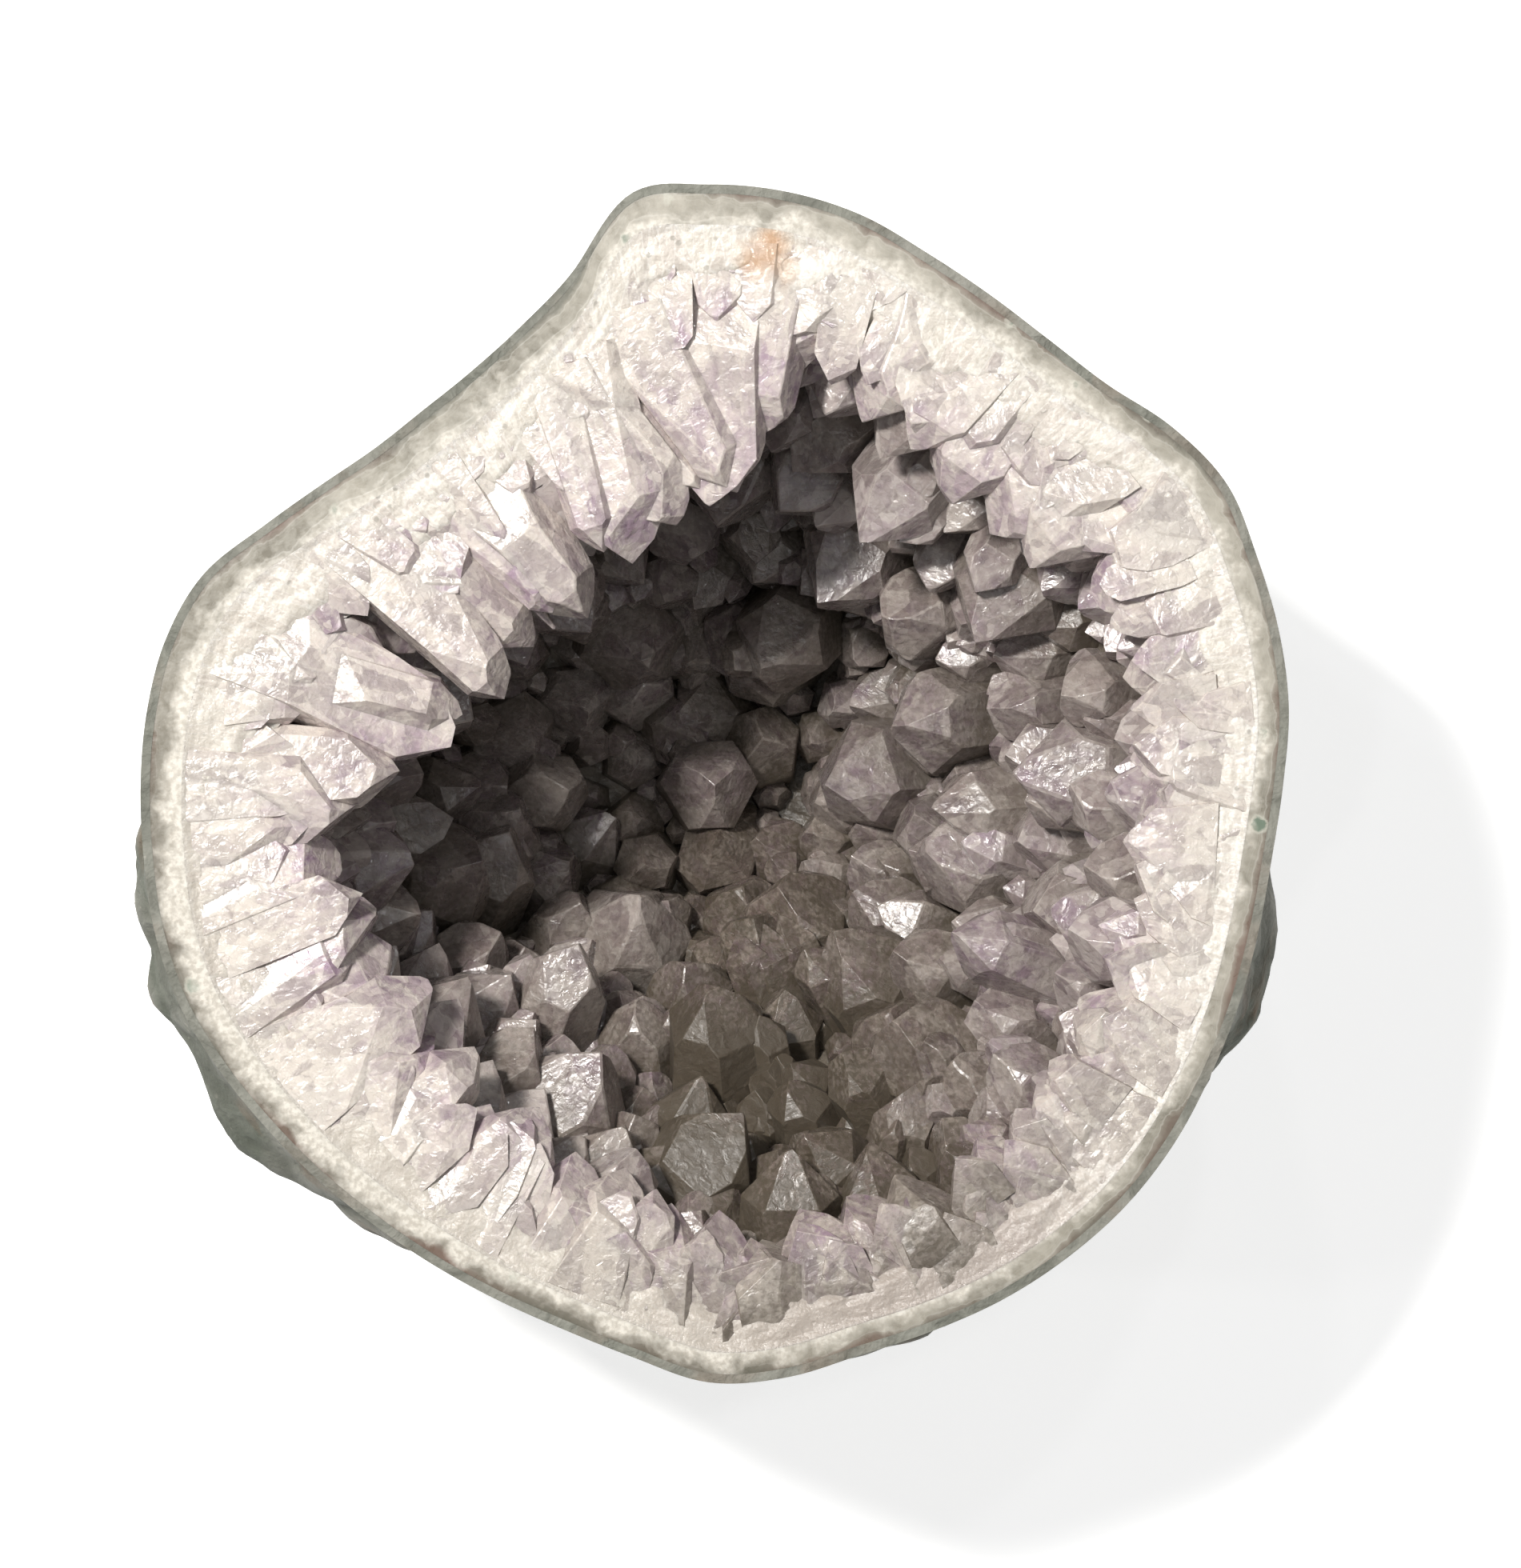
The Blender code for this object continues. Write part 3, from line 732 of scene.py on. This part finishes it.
def chipped(directions, offsets, chips, radius, rng):
    """The same crystal with small extra faces, each one cut across an edge of two of its faces."""
    for _ in range(chips):
        first, second = rng.integers(0, 12, 2)
        way = directions[first] + directions[second] + 0.25 * rng.normal(size=3)
        size = norm(way)
        points = corners_of(directions, offsets)
        if size < 0.8 or len(points) < 6:
            continue
        way /= size
        offset = (points @ way).max() - radius * rng.uniform(0.02, 0.13)
        directions, offsets = with_face(directions, offsets, way, offset)
    return directions, offsets


def face_outwards(bm):
    """Turns round any face of a convex mesh that looks towards its middle."""
    bm.normal_update()
    middle = sum((v.co for v in bm.verts), Vector()) / len(bm.verts)
    turned = [f for f in bm.faces if f.normal.dot(f.calc_center_median() - middle) < 0]
    bmesh.ops.reverse_faces(bm, faces=turned)


def crystal_bmesh(directions, offsets, edge):
    """A closed mesh round a crystal's corners, with narrow worn edges marked by material index 1 (paler: wear
    and a painted highlight).
    """
    points = corners_of(directions, offsets)
    bm = bmesh.new()
    if len(points) < 6:
        return bm
    bmesh.ops.convex_hull(bm, input=[bm.verts.new(p) for p in points], use_existing_faces=False)
    loose = [v for v in bm.verts if not v.link_faces]
    bmesh.ops.delete(bm, geom=loose, context="VERTS")
    face_outwards(bm)
    bmesh.ops.dissolve_limit(bm, angle_limit=math.radians(2), verts=bm.verts[:], edges=bm.edges[:])
    face_outwards(bm)
    if edge > 0:
        bmesh.ops.bevel(bm, geom=bm.edges[:], offset=edge, segments=1, affect="EDGES", profile=0.5,
                        clamp_overlap=True, material=1)
        face_outwards(bm)
    return bm


# %% [markdown]
# ## Where the crystals stand
#
# The large ones stand where the frame's crystals do: each of those solids gives a root, a tip and
# a width. Those at the rim lie nearly flat and are sawn along their length. Smaller crystals fill
# the gaps: a random place is kept if no crystal is too near, first for the middling sizes, then
# the small. Last, many crystals get a twin or two that grew along with them, a little shorter.

# %% Sites of all the crystals
RIM_NODES = 26  # the first crystals of the frame, cut by the saw
random = np.random.default_rng(4)
LOWEST = 1.55  # radians below the face: just short of straight down
Site = collections.namedtuple("Site", "kind root tip radius node", defaults=[None])


def inward_at(azimuth, down):
    """Square to the wall of the hollow, from places a small angle to either side."""
    step = 0.05
    a, d = np.array([azimuth + step, azimuth - step]), np.array([down, down])
    round_way = np.diff(place_at(a, d, distance(HOLLOW, a, d)), axis=0)[0]
    a, d = np.array([azimuth, azimuth]), np.array([min(down + step, LOWEST), down - step])
    down_way = np.diff(place_at(a, d, distance(HOLLOW, a, d)), axis=0)[0]
    normal = np.cross(round_way, down_way)
    normal /= norm(normal)
    return normal if normal @ (CENTRE - one_place(HOLLOW, azimuth, down)) > 0 else -normal


def angles_of(places):
    """The azimuth, the angle below the sawn face and the distance from the centre of each place."""
    offset = places - CENTRE
    down = np.arctan2(-offset[:, 2], np.hypot(offset[:, 0], offset[:, 1]))
    return np.arctan2(offset[:, 1], offset[:, 0]), down, norm(offset, axis=1)


def depth_in_wall(places):
    """How far each place stands in from the wall of the hollow."""
    azimuth, down, reach = angles_of(places)
    return distance(HOLLOW, azimuth, down) - reach


def kept_inside(places):
    """Draws in whatever reaches past the agate's inner side, so that every root ends within the stone."""
    azimuth, down, reach = angles_of(places)
    most = tucked(UNDER_AGATE, azimuth, down) - AGATE_GAP
    return CENTRE + (places - CENTRE) * np.minimum(1.0, most / np.maximum(reach, MM))[:, None]


def site_from_node(name):
    """A large crystal's root, tip and radius, from the CAD solid that stands there."""
    corners = np.unique(np.round(node_corners(name), 6), axis=0)
    stand = depth_in_wall(corners)
    tip = corners[stand.argmax()]
    foot = corners[stand < stand.min() + 1.5 * MM].mean(axis=0)
    if int(name[-2:]) > RIM_NODES:
        spread = norm(np.array(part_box(name)[1]) - np.array(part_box(name)[0]))
        return Site("inner", foot, tip, min(0.31 * spread, random.uniform(5.6, 7.6) * MM), name)
    tip[2] = min(tip[2], FACE - random.uniform(1.2, 6.5) * MM)
    return Site("rim", root_in_rim(math.atan2(foot[1], foot[0]), (4.6, 6.8), (2.2, 4.6)), tip,
                    random.uniform(5.2, 7.2) * MM, name)


def root_in_rim(azimuth, inward, below):
    """A place in the white of the rim: so far in from the outline, and so far under the face."""
    root = one_place(STONE, azimuth, 0.0, random.uniform(*inward) * MM)
    root[2] -= random.uniform(*below) * MM
    return root


def second_rank(sites):
    """More large crystals in the rim, one behind each gap of the first, and a little lower."""
    first_rank = sorted(sites[:RIM_NODES], key=lambda s: math.atan2(s.tip[1], s.tip[0]))
    for left, right in zip(first_rank, first_rank[1:] + first_rank[:1]):
        tip = (left.tip + right.tip) / 2 * (1, 1, 0) * random.uniform(1.0, 1.12)
        tip[2] = FACE - random.uniform(3.0, 9.0) * MM
        azimuth = math.atan2(tip[1], tip[0]) + random.uniform(-0.03, 0.03)
        sites.append(Site("rim", root_in_rim(azimuth, (5.4, 8.0), (2.6, 5.5)), tip,
                              random.uniform(4.8, 6.6) * MM))


def lean(normal, amount):
    """A direction, turned a little at random."""
    axis = normal + amount * random.normal(size=3)
    return axis / norm(axis)


def crowded(sites, root, radius, spacing):
    """Whether a crystal would stand nearer to any other than `spacing` times their two radii."""
    roots = np.array([s.root for s in sites])
    radii = np.array([s.radius for s in sites])
    return (norm(roots - root, axis=1) < spacing * (radii + radius)).any()


def columns_in(sites, kind, tries, sizes, inward, lengths, spacing):
    """Crystals that lie in the rim and point to the hollow, between the large ones and no longer."""
    placed = []
    tips = sorted((math.atan2(s.tip[1], s.tip[0]), np.hypot(*s.tip[:2])) for s in sites[:RIM_NODES])
    tip_azimuths, tip_reaches = np.array(tips).T
    for _ in range(tries):
        azimuth, radius = random.uniform(-math.pi, math.pi), random.uniform(*sizes) * MM
        root = root_in_rim(azimuth, inward, (0.2, 2.4))
        if placed and crowded(placed, root, radius, spacing):
            continue
        level = -np.array([root[0], root[1], 0]) / np.hypot(root[0], root[1])
        axis = lean(level + np.array([0, 0, random.uniform(-0.45, 0.05)]), 0.13)
        room = np.hypot(*root[:2]) - np.interp(azimuth, tip_azimuths, tip_reaches, period=TURN)
        length = min(random.uniform(*lengths) * MM, max(room + random.uniform(-2.5, 0.5) * MM, 3 * MM))
        placed.append(Site(kind, root, root + axis * length, radius))
    sites += placed


def fill_in(sites, kind, tries, sizes, spacing, downs):
    """Throws `tries` crystals at the wall and keeps those that no neighbour crowds out."""
    for _ in range(tries):
        azimuth = random.uniform(-math.pi, math.pi)
        down = math.asin(random.uniform(math.sin(downs[0]), math.sin(downs[1])))
        radius = random.uniform(*sizes) * MM
        root = one_place(HOLLOW, azimuth, down)
        if crowded(sites, root, radius, spacing):
            continue
        towards = (CENTRE - root) / norm(CENTRE - root)
        axis = lean(0.75 * inward_at(azimuth, down) + 0.25 * towards, 0.17)
        sites.append(Site(kind, root, root + axis * radius * random.uniform(1.7, 2.6), radius))


def add_twins(sites):
    """Beside many crystals, one or two more that grew the same way, thinner and shorter."""
    for site in list(sites):
        count = random.integers(0, 3) if site.kind in ("rim", "inner", "middling") else 0
        axis, _ = axis_of(site)
        for _ in range(count):
            side = np.cross(axis, lean(axis, 1.0))
            side *= site.radius * random.uniform(0.55, 0.95) / norm(side)
            shorter = axis * site.radius * random.uniform(0.15, 0.9)
            root, tip = site.root + side, site.tip + 0.9 * side - shorter
            sites.append(Site("twin", root, tip, site.radius * random.uniform(0.45, 0.7)))


sites = [site_from_node(name) for name in sorted(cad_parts) if name.startswith("crystal")]
LARGE = len(sites)
second_rank(sites)
columns_in(sites, "column", 420, (2.6, 4.8), (4.4, 12.0), (6.5, 11.0), 0.62)
columns_in(sites, "grain", 900, (0.9, 1.9), (4.2, 8.0), (2.5, 5.0), 0.75)
fill_in(sites, "middling", 1700, (3.8, 6.0), 0.64, (math.radians(8), math.radians(90)))
fill_in(sites, "small", 3000, (1.6, 3.2), 0.66, (math.radians(5), math.radians(90)))
add_twins(sites)
print("crystals:", LARGE, "large and", len(sites) - LARGE, "smaller")

# %% [markdown]
# ## The crystal finishes
#
# At the root a crystal is white with trapped water and flaws, and towards its point it clears to
# a pale violet-grey. In the rim it is milky all through, and deep in the hollow brown dust lies on
# it, with painted shade that grows with depth and is darkest at the roots. Each corner stores how
# far up its crystal it is, how violet, and how much dust and painted shade it has, and its place
# along the crystal's own axis, which streaks and growth lines follow. Worn edges are paler, partly
# from wear and partly as a painted highlight.

# %% Finish of the crystals
def crystal_finish(name, milky, tips, violets, through, gloss, veins, edge_wear_and_highlight_share):
    """Milky is the white at the root, through is how much light passes, gloss the roughness's ends."""
    f = Finish(name)
    makeup_and_shade = f.split(f.stored("makeup_and_shade"))
    growth, violet, dust_and_shade = makeup_and_shade["X"], makeup_and_shade["Y"], makeup_and_shade["Z"]
    own, place = f.stored("along"), f.place()
    worn_edges_and_highlight = f.node("Attribute", attribute_name="worn_edges_and_highlight").outputs["Fac"]
    whiter = scaled(milky, 1.12)
    clouds = f.noise(own, 330.0, 5.0, 0.9)
    windows = f.times(f.ramp(f.noise(own, 230.0, 3.0, 1.3), 0.50, 0.60), growth)
    clear = f.cover(f.mix(violet, tips, violets), (windows, 0.75, scaled(violets, 0.55)),
                    (f.ramp(clouds, 0.40, 0.66), 0.65, milky))
    streaks = f.noise(f.stretch(own, (1.0, 1.0, 0.16)), 1000.0, 4.0, 0.4)
    sawn = f.ramp(f.split(place)["Z"], FACE - 2.2 * MM, FACE - 0.6 * MM)
    level = f.math("ADD", growth, f.ramp(streaks, 0.3, 0.7, -0.25, 0.25))
    level = f.math("SUBTRACT", level, f.times(sawn, 0.16))
    veils = f.ramp(f.noise(f.stretch(own, (1.0, 1.0, 0.5)), 520.0, 6.0, 1.6), 0.54, 0.64)
    flaws = f.ramp(f.noise(place, 650.0, 6.0, 1.0), 0.57, 0.66)
    cracked = f.shaken(f.stretch(own, (1.0, 1.0, 0.5)), 500.0, 1.6 * MM)
    tone = f.split(f.grains(cracked, 330.0, output="Color"))["X"]
    flake = f.split(f.grains(f.shaken(place, 700.0, 1.0 * MM), 900.0, output="Color"))["X"]
    healed = f.times(f.ramp(f.grains(cracked, 330.0, "DISTANCE_TO_EDGE"), 0.05, 0.0),
                     f.ramp(clouds, 0.4, 0.6))
    colour = f.cover(
        f.mix(f.ramp(level, 0.05, 0.65), milky, clear),
        (veils, 0.50, whiter),
        (flaws, 0.40, scaled(tips, 0.62)),
        (f.ramp(tone, 0.45, 1.0), 0.60, scaled(tips, 0.66)),
        (f.ramp(tone, 0.40, 0.0), 0.60, whiter),
        (f.ramp(flake, 0.80, 0.95), 0.45, whiter),
        (f.ramp(flake, 0.20, 0.05), 0.35, scaled(tips, 0.60)),
        (healed, veins, whiter),
        # worn edges: paler, partly wear and partly a painted highlight
        (worn_edges_and_highlight, edge_wear_and_highlight_share, whiter))
    specks = f.ramp(f.noise(place, 1500.0, 5.0), 0.42, 0.60)
    patches = f.ramp(f.noise(place, 170.0, 5.0), 0.35, 0.62)
    low = f.ramp(growth, 0.85, 0.25)
    # dust specks and patches, plus painted shade darkest low on each crystal, between the roots
    dust_and_root_shade = f.times(dust_and_shade, f.math("ADD", f.times(specks, 0.30), f.times(patches, 0.25)))
    dust_and_root_shade = f.math("ADD", dust_and_root_shade, f.times(f.times(dust_and_shade, low), 0.80), clamp=True)
    colour = f.cover(
        colour,
        # dust and painted shade darken and brown the whole crystal
        (dust_and_shade, 0.55, f.mix(1.0, colour, (0.52, 0.49, 0.44), "MULTIPLY")),
        (dust_and_root_shade, 0.94, (0.10, 0.080, 0.055)),
        (iron_stain(f, place), 0.75, (0.62, 0.38, 0.22)))
    growth_lines = f.noise(f.stretch(own, (0.15, 0.15, 1.0)), 2600.0, 2.0)
    normal = f.relief(growth_lines, 0.05 * MM, 0.6)
    normal = f.relief(f.noise(place, 800.0, 7.0, 0.6), 0.22 * MM, under=normal)
    normal = f.relief(f.math("ADD", tone, flake), 0.16 * MM, under=normal)
    rough_from = f.ramp(f.noise(place, 700.0, 4.0), 0.35, 0.65, *gloss)
    return f.finish(base_color=colour, roughness=f.math("ADD", rough_from, f.times(dust_and_root_shade, 0.35)), normal=normal,
                    ior=1.54, specular_ior_level=0.8, transmission_weight=through, subsurface_weight=0.20,
                    subsurface_radius=(1.0, 0.9, 0.85), subsurface_scale=1.0 * MM)


# %% [markdown]
# ## Growing the crystals
#
# Every smaller crystal joins the piece of the large one nearest to it, so each piece is a tuft:
# a main crystal and what grew at its foot. The tuft stands for one solid of the frame.

# %% Build the tufts
EARTH_AND_SHADE = [(6, -32, 12, 17), (26, -46, 9, 7)]  # where brown earth lies, partly painted shade in the deep hollow: x, y, width, height in mm
VIOLET_SPOT = (-39, -30, 8)  # where crystals are most violet: x, y, radius in mm
CLEAR_SIDE, CLEAR_SPREAD = math.radians(-72), math.radians(27)  # where the rim is clear, not milky
NEAR_FACE = 9 * MM  # roots less deep than this might reach the agate
LOW = 6 * MM  # crystals rooted deeper than this don't belong to the rim
FAR = 1.0  # added to a distance, so that it is never the nearest


def makeup_and_shade_of(site, growth):
    """What a crystal is made of at each corner: growth, violet, and dust with painted shade, by where it
    stands.

    Dust and painted shade lie thicker with depth and most on the earth spots, which are partly
    brown earth and partly painted shade in the deep hollow. On the clear side the rim's crystals are
    clear down to the root, and let the dark ground behind them show, which the dust value stands for.
    """
    x, y = site.tip[:2] / MM
    violet_x, violet_y, violet_radius = VIOLET_SPOT
    most_violet = math.hypot(x - violet_x, y - violet_y) < violet_radius
    violet = np.clip(random.normal(0.42, 0.40) + 1.5 * most_violet, 0, 1)
    earth_and_shade = sum(math.exp(-((x - ex) / wide) ** 2 - ((y - ey) / tall) ** 2) for ex, ey, wide, tall in EARTH_AND_SHADE)
    off = (math.atan2(y, x) - CLEAR_SIDE + math.pi) % TURN - math.pi
    shade = math.exp(-(off / CLEAR_SPREAD) ** 2)
    growth = np.clip(growth * (1 - 0.75 * min(earth_and_shade, 1)) + 0.45 * shade, 0, 1)
    depth = (FACE - site.root[2]) / FACE
    # dust and painted shade: more with depth, and most on the earth spots
    dust_and_shade = np.clip(0.14 + depth + 1.3 * earth_and_shade + random.normal(0, 0.16), 0.0, 1.7)
    dust_and_shade = dust_and_shade * step_between(0.03, 0.22, np.array(depth)) + shade * random.uniform(0.65, 1.15)
    return np.stack([growth, np.full(len(growth), violet), np.full(len(growth), dust_and_shade)], axis=1)


def crystal_part(site):
    """One crystal's mesh data: places, faces, the two vectors its material reads, and worn edge faces, painted
    paler.
    """
    kind, root = KINDS[site.kind], site.root
    directions, offsets, axis = faces_of(site, random)
    if root[2] > FACE - NEAR_FACE:
        directions, offsets = under_agate(site, directions, offsets)
    directions, offsets = broken_top(site, directions, offsets, axis, random)
    directions, offsets = chipped(directions, offsets, kind.chips, site.radius, random)
    bm = crystal_bmesh(directions, offsets, kind.edge * site.radius)
    bm.verts.index_update()
    places = kept_inside(np.array([v.co[:] for v in bm.verts]).reshape(-1, 3))
    faces = [[v.index for v in face.verts] for face in bm.faces]
    worn_edges_and_highlight = [face.material_index for face in bm.faces]
    bm.free()
    if len(places) == 0:
        return None
    own = (places - root) @ np.stack([*across_axis(axis), axis], axis=1) + random.uniform(-0.2, 0.2, 3)
    growth = np.clip((places - root) @ axis / axis_of(site)[1], 0, 1)
    return places, faces, makeup_and_shade_of(site, growth), own, worn_edges_and_highlight


def join_parts(name, parts):
    """One mesh from several crystals, whose corners are numbered on from each other."""
    starts = np.cumsum([0] + [len(p[0]) for p in parts])
    faces = [[v + start for v in face] for start, p in zip(starts, parts) for face in p[1]]
    mesh = bpy.data.meshes.new(name)
    mesh.from_pydata(np.concatenate([p[0] for p in parts]).tolist(), [], faces)
    worn_edges_and_highlight = mesh.attributes.new("worn_edges_and_highlight", "FLOAT", "FACE")
    worn_edges_and_highlight.data.foreach_set("value", np.concatenate([p[4] for p in parts]).astype(np.float32))
    piece = new_object(name, mesh)
    write_vectors(piece, "makeup_and_shade", np.concatenate([p[2] for p in parts]))
    write_vectors(piece, "along", np.concatenate([p[3] for p in parts]))
    return piece


def grow_tufts():
    """Builds every crystal, adds it to the nearest tuft, and puts each tuft in its solid's place."""
    rim = crystal_finish("crystal_rim", (0.76, 0.695, 0.625), (0.56, 0.475, 0.465), (0.45, 0.315, 0.42), 0.08,
                         (0.10, 0.36), 0.6, 0.35)
    deep = crystal_finish("crystal_deep", (0.66, 0.60, 0.56), (0.44, 0.365, 0.350), (0.385, 0.285, 0.355), 0.14,
                          (0.04, 0.24), 0.45, 0.30)
    large_roots = np.array([s.root for s in sites[:LARGE]])
    tufts = {k: [] for k in range(LARGE)}
    for k, site in enumerate(sites):
        part = crystal_part(site)
        near = norm(large_roots - site.root, axis=1)
        if site.kind in ("column", "grain"):
            near[RIM_NODES:] += FAR
        if site.kind in ("middling", "small") and site.root[2] < FACE - LOW:
            near[:RIM_NODES] += FAR
        if part:
            tufts[k if k < LARGE else int(near.argmin())].append(part)
    faces = 0
    for k, parts in tufts.items():
        node = sites[k].node
        piece = join_parts(node.replace("crystal", "tuft"), parts)
        piece.data.materials.append(rim if k < RIM_NODES else deep)
        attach(piece, "root")
        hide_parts(node)
        faces += len(piece.data.polygons)
    print("tufts:", len(tufts), "with", faces, "faces")


grow_tufts()

# %% [markdown]
# ## Floor, light and camera
#
# The stone lies on a plain pale floor. One strong lamp stands at the upper left, high enough to
# reach the right side of the hollow while the left side stays in shade, and an even pale sky
# fills the rest. The camera looks straight down on the sawn face.

# %% Stage
SKY_LIGHT = 0.15
KEY_POWER = 8.3
KEY_PLACE = (-0.32, 0.27, 0.74)  # from the middle of the sawn face, like the next
SPARKS = [(0.35, -0.25, 1.2), (0.1, 0.5, 1.1), (-0.3, -0.45, 1.2), (0.6, 0.35, 0.9), (-0.75, -0.1, 0.8),
          (0.15, -0.75, 0.9), (-0.1, 0.9, 0.9), (-0.6, 0.6, 1.0), (0.05, 0.15, 1.3)]
SPARK_POWER = 0.45  # weak lamps, so that more of the crystals' faces glint
KEY_SIZE, SPARK_SIZE = 0.10, 0.05
FLOOR_GLOW = 0.60  # a back-lit table, so that the shadow stays faint


def build_floor():
    """A pale plane just under the stone."""
    bpy.ops.mesh.primitive_plane_add(size=6.0, location=(0, 0, -0.2 * MM))
    floor = bpy.context.object
    floor.name = "floor"
    f = Finish("floor_pale")
    grain = f.noise(f.place(), 40.0, 3.0)
    tone = f.mix(grain, (0.90, 0.90, 0.90), (0.93, 0.93, 0.93))
    floor.data.materials.append(f.finish(base_color=tone, roughness=0.9, emission_color=(1, 1, 1, 1),
                                         emission_strength=FLOOR_GLOW))


def build_lamp(name, place, aim, size, power, colour):
    """A square lamp that faces its aim."""
    data = bpy.data.lights.new(name, "AREA")
    data.size, data.energy, data.color = size, power, colour
    lamp = new_object(name, data)
    lamp.location = place
    lamp.rotation_euler = (aim - lamp.location).to_track_quat("-Z", "Y").to_euler()


def build_sky():
    """An even sky: white to the camera, and dimmer as a light."""
    world = bpy.data.worlds.new("studio")
    world.use_nodes = True
    tree = world.node_tree
    background = tree.nodes["Background"]
    seen = tree.nodes.new("ShaderNodeLightPath").outputs["Is Camera Ray"]
    strength = tree.nodes.new("ShaderNodeMapRange")
    strength.inputs["To Min"].default_value = SKY_LIGHT
    strength.inputs["To Max"].default_value = 1.0
    tree.links.new(seen, strength.inputs["Value"])
    tree.links.new(strength.outputs["Result"], background.inputs["Strength"])
    background.inputs["Color"].default_value = (1.0, 0.985, 0.965, 1.0)
    bpy.context.scene.world = world


middle = Vector((0, 0, FACE))
build_floor()
build_sky()
build_lamp("key", middle + Vector(KEY_PLACE), middle, KEY_SIZE, KEY_POWER, (1.0, 0.975, 0.94))
for k, spark in enumerate(SPARKS):
    build_lamp(f"spark_{k + 1}", middle + Vector(spark), middle, SPARK_SIZE, SPARK_POWER, (0.96, 0.98, 1.0))

# %% Camera
CAMERA_HEIGHT = 0.55  # above the sawn face
FRAME_WIDTH = 0.1717  # of the view, at the sawn face
ASIDE = 5.9 * MM  # how far the view's middle lies to the right of the stone's
SENSOR = 36.0  # mm
camera_data = bpy.data.cameras.new("camera")
camera_data.sensor_fit = "HORIZONTAL"
camera_data.sensor_width = SENSOR
camera_data.lens = SENSOR * CAMERA_HEIGHT / FRAME_WIDTH
camera_data.clip_start, camera_data.clip_end = 0.01, 20.0
camera = new_object("camera", camera_data)
camera.location = (ASIDE, 0.0, FACE + CAMERA_HEIGHT)
bpy.context.scene.camera = camera
bpy.context.scene.view_settings.view_transform = "Standard"
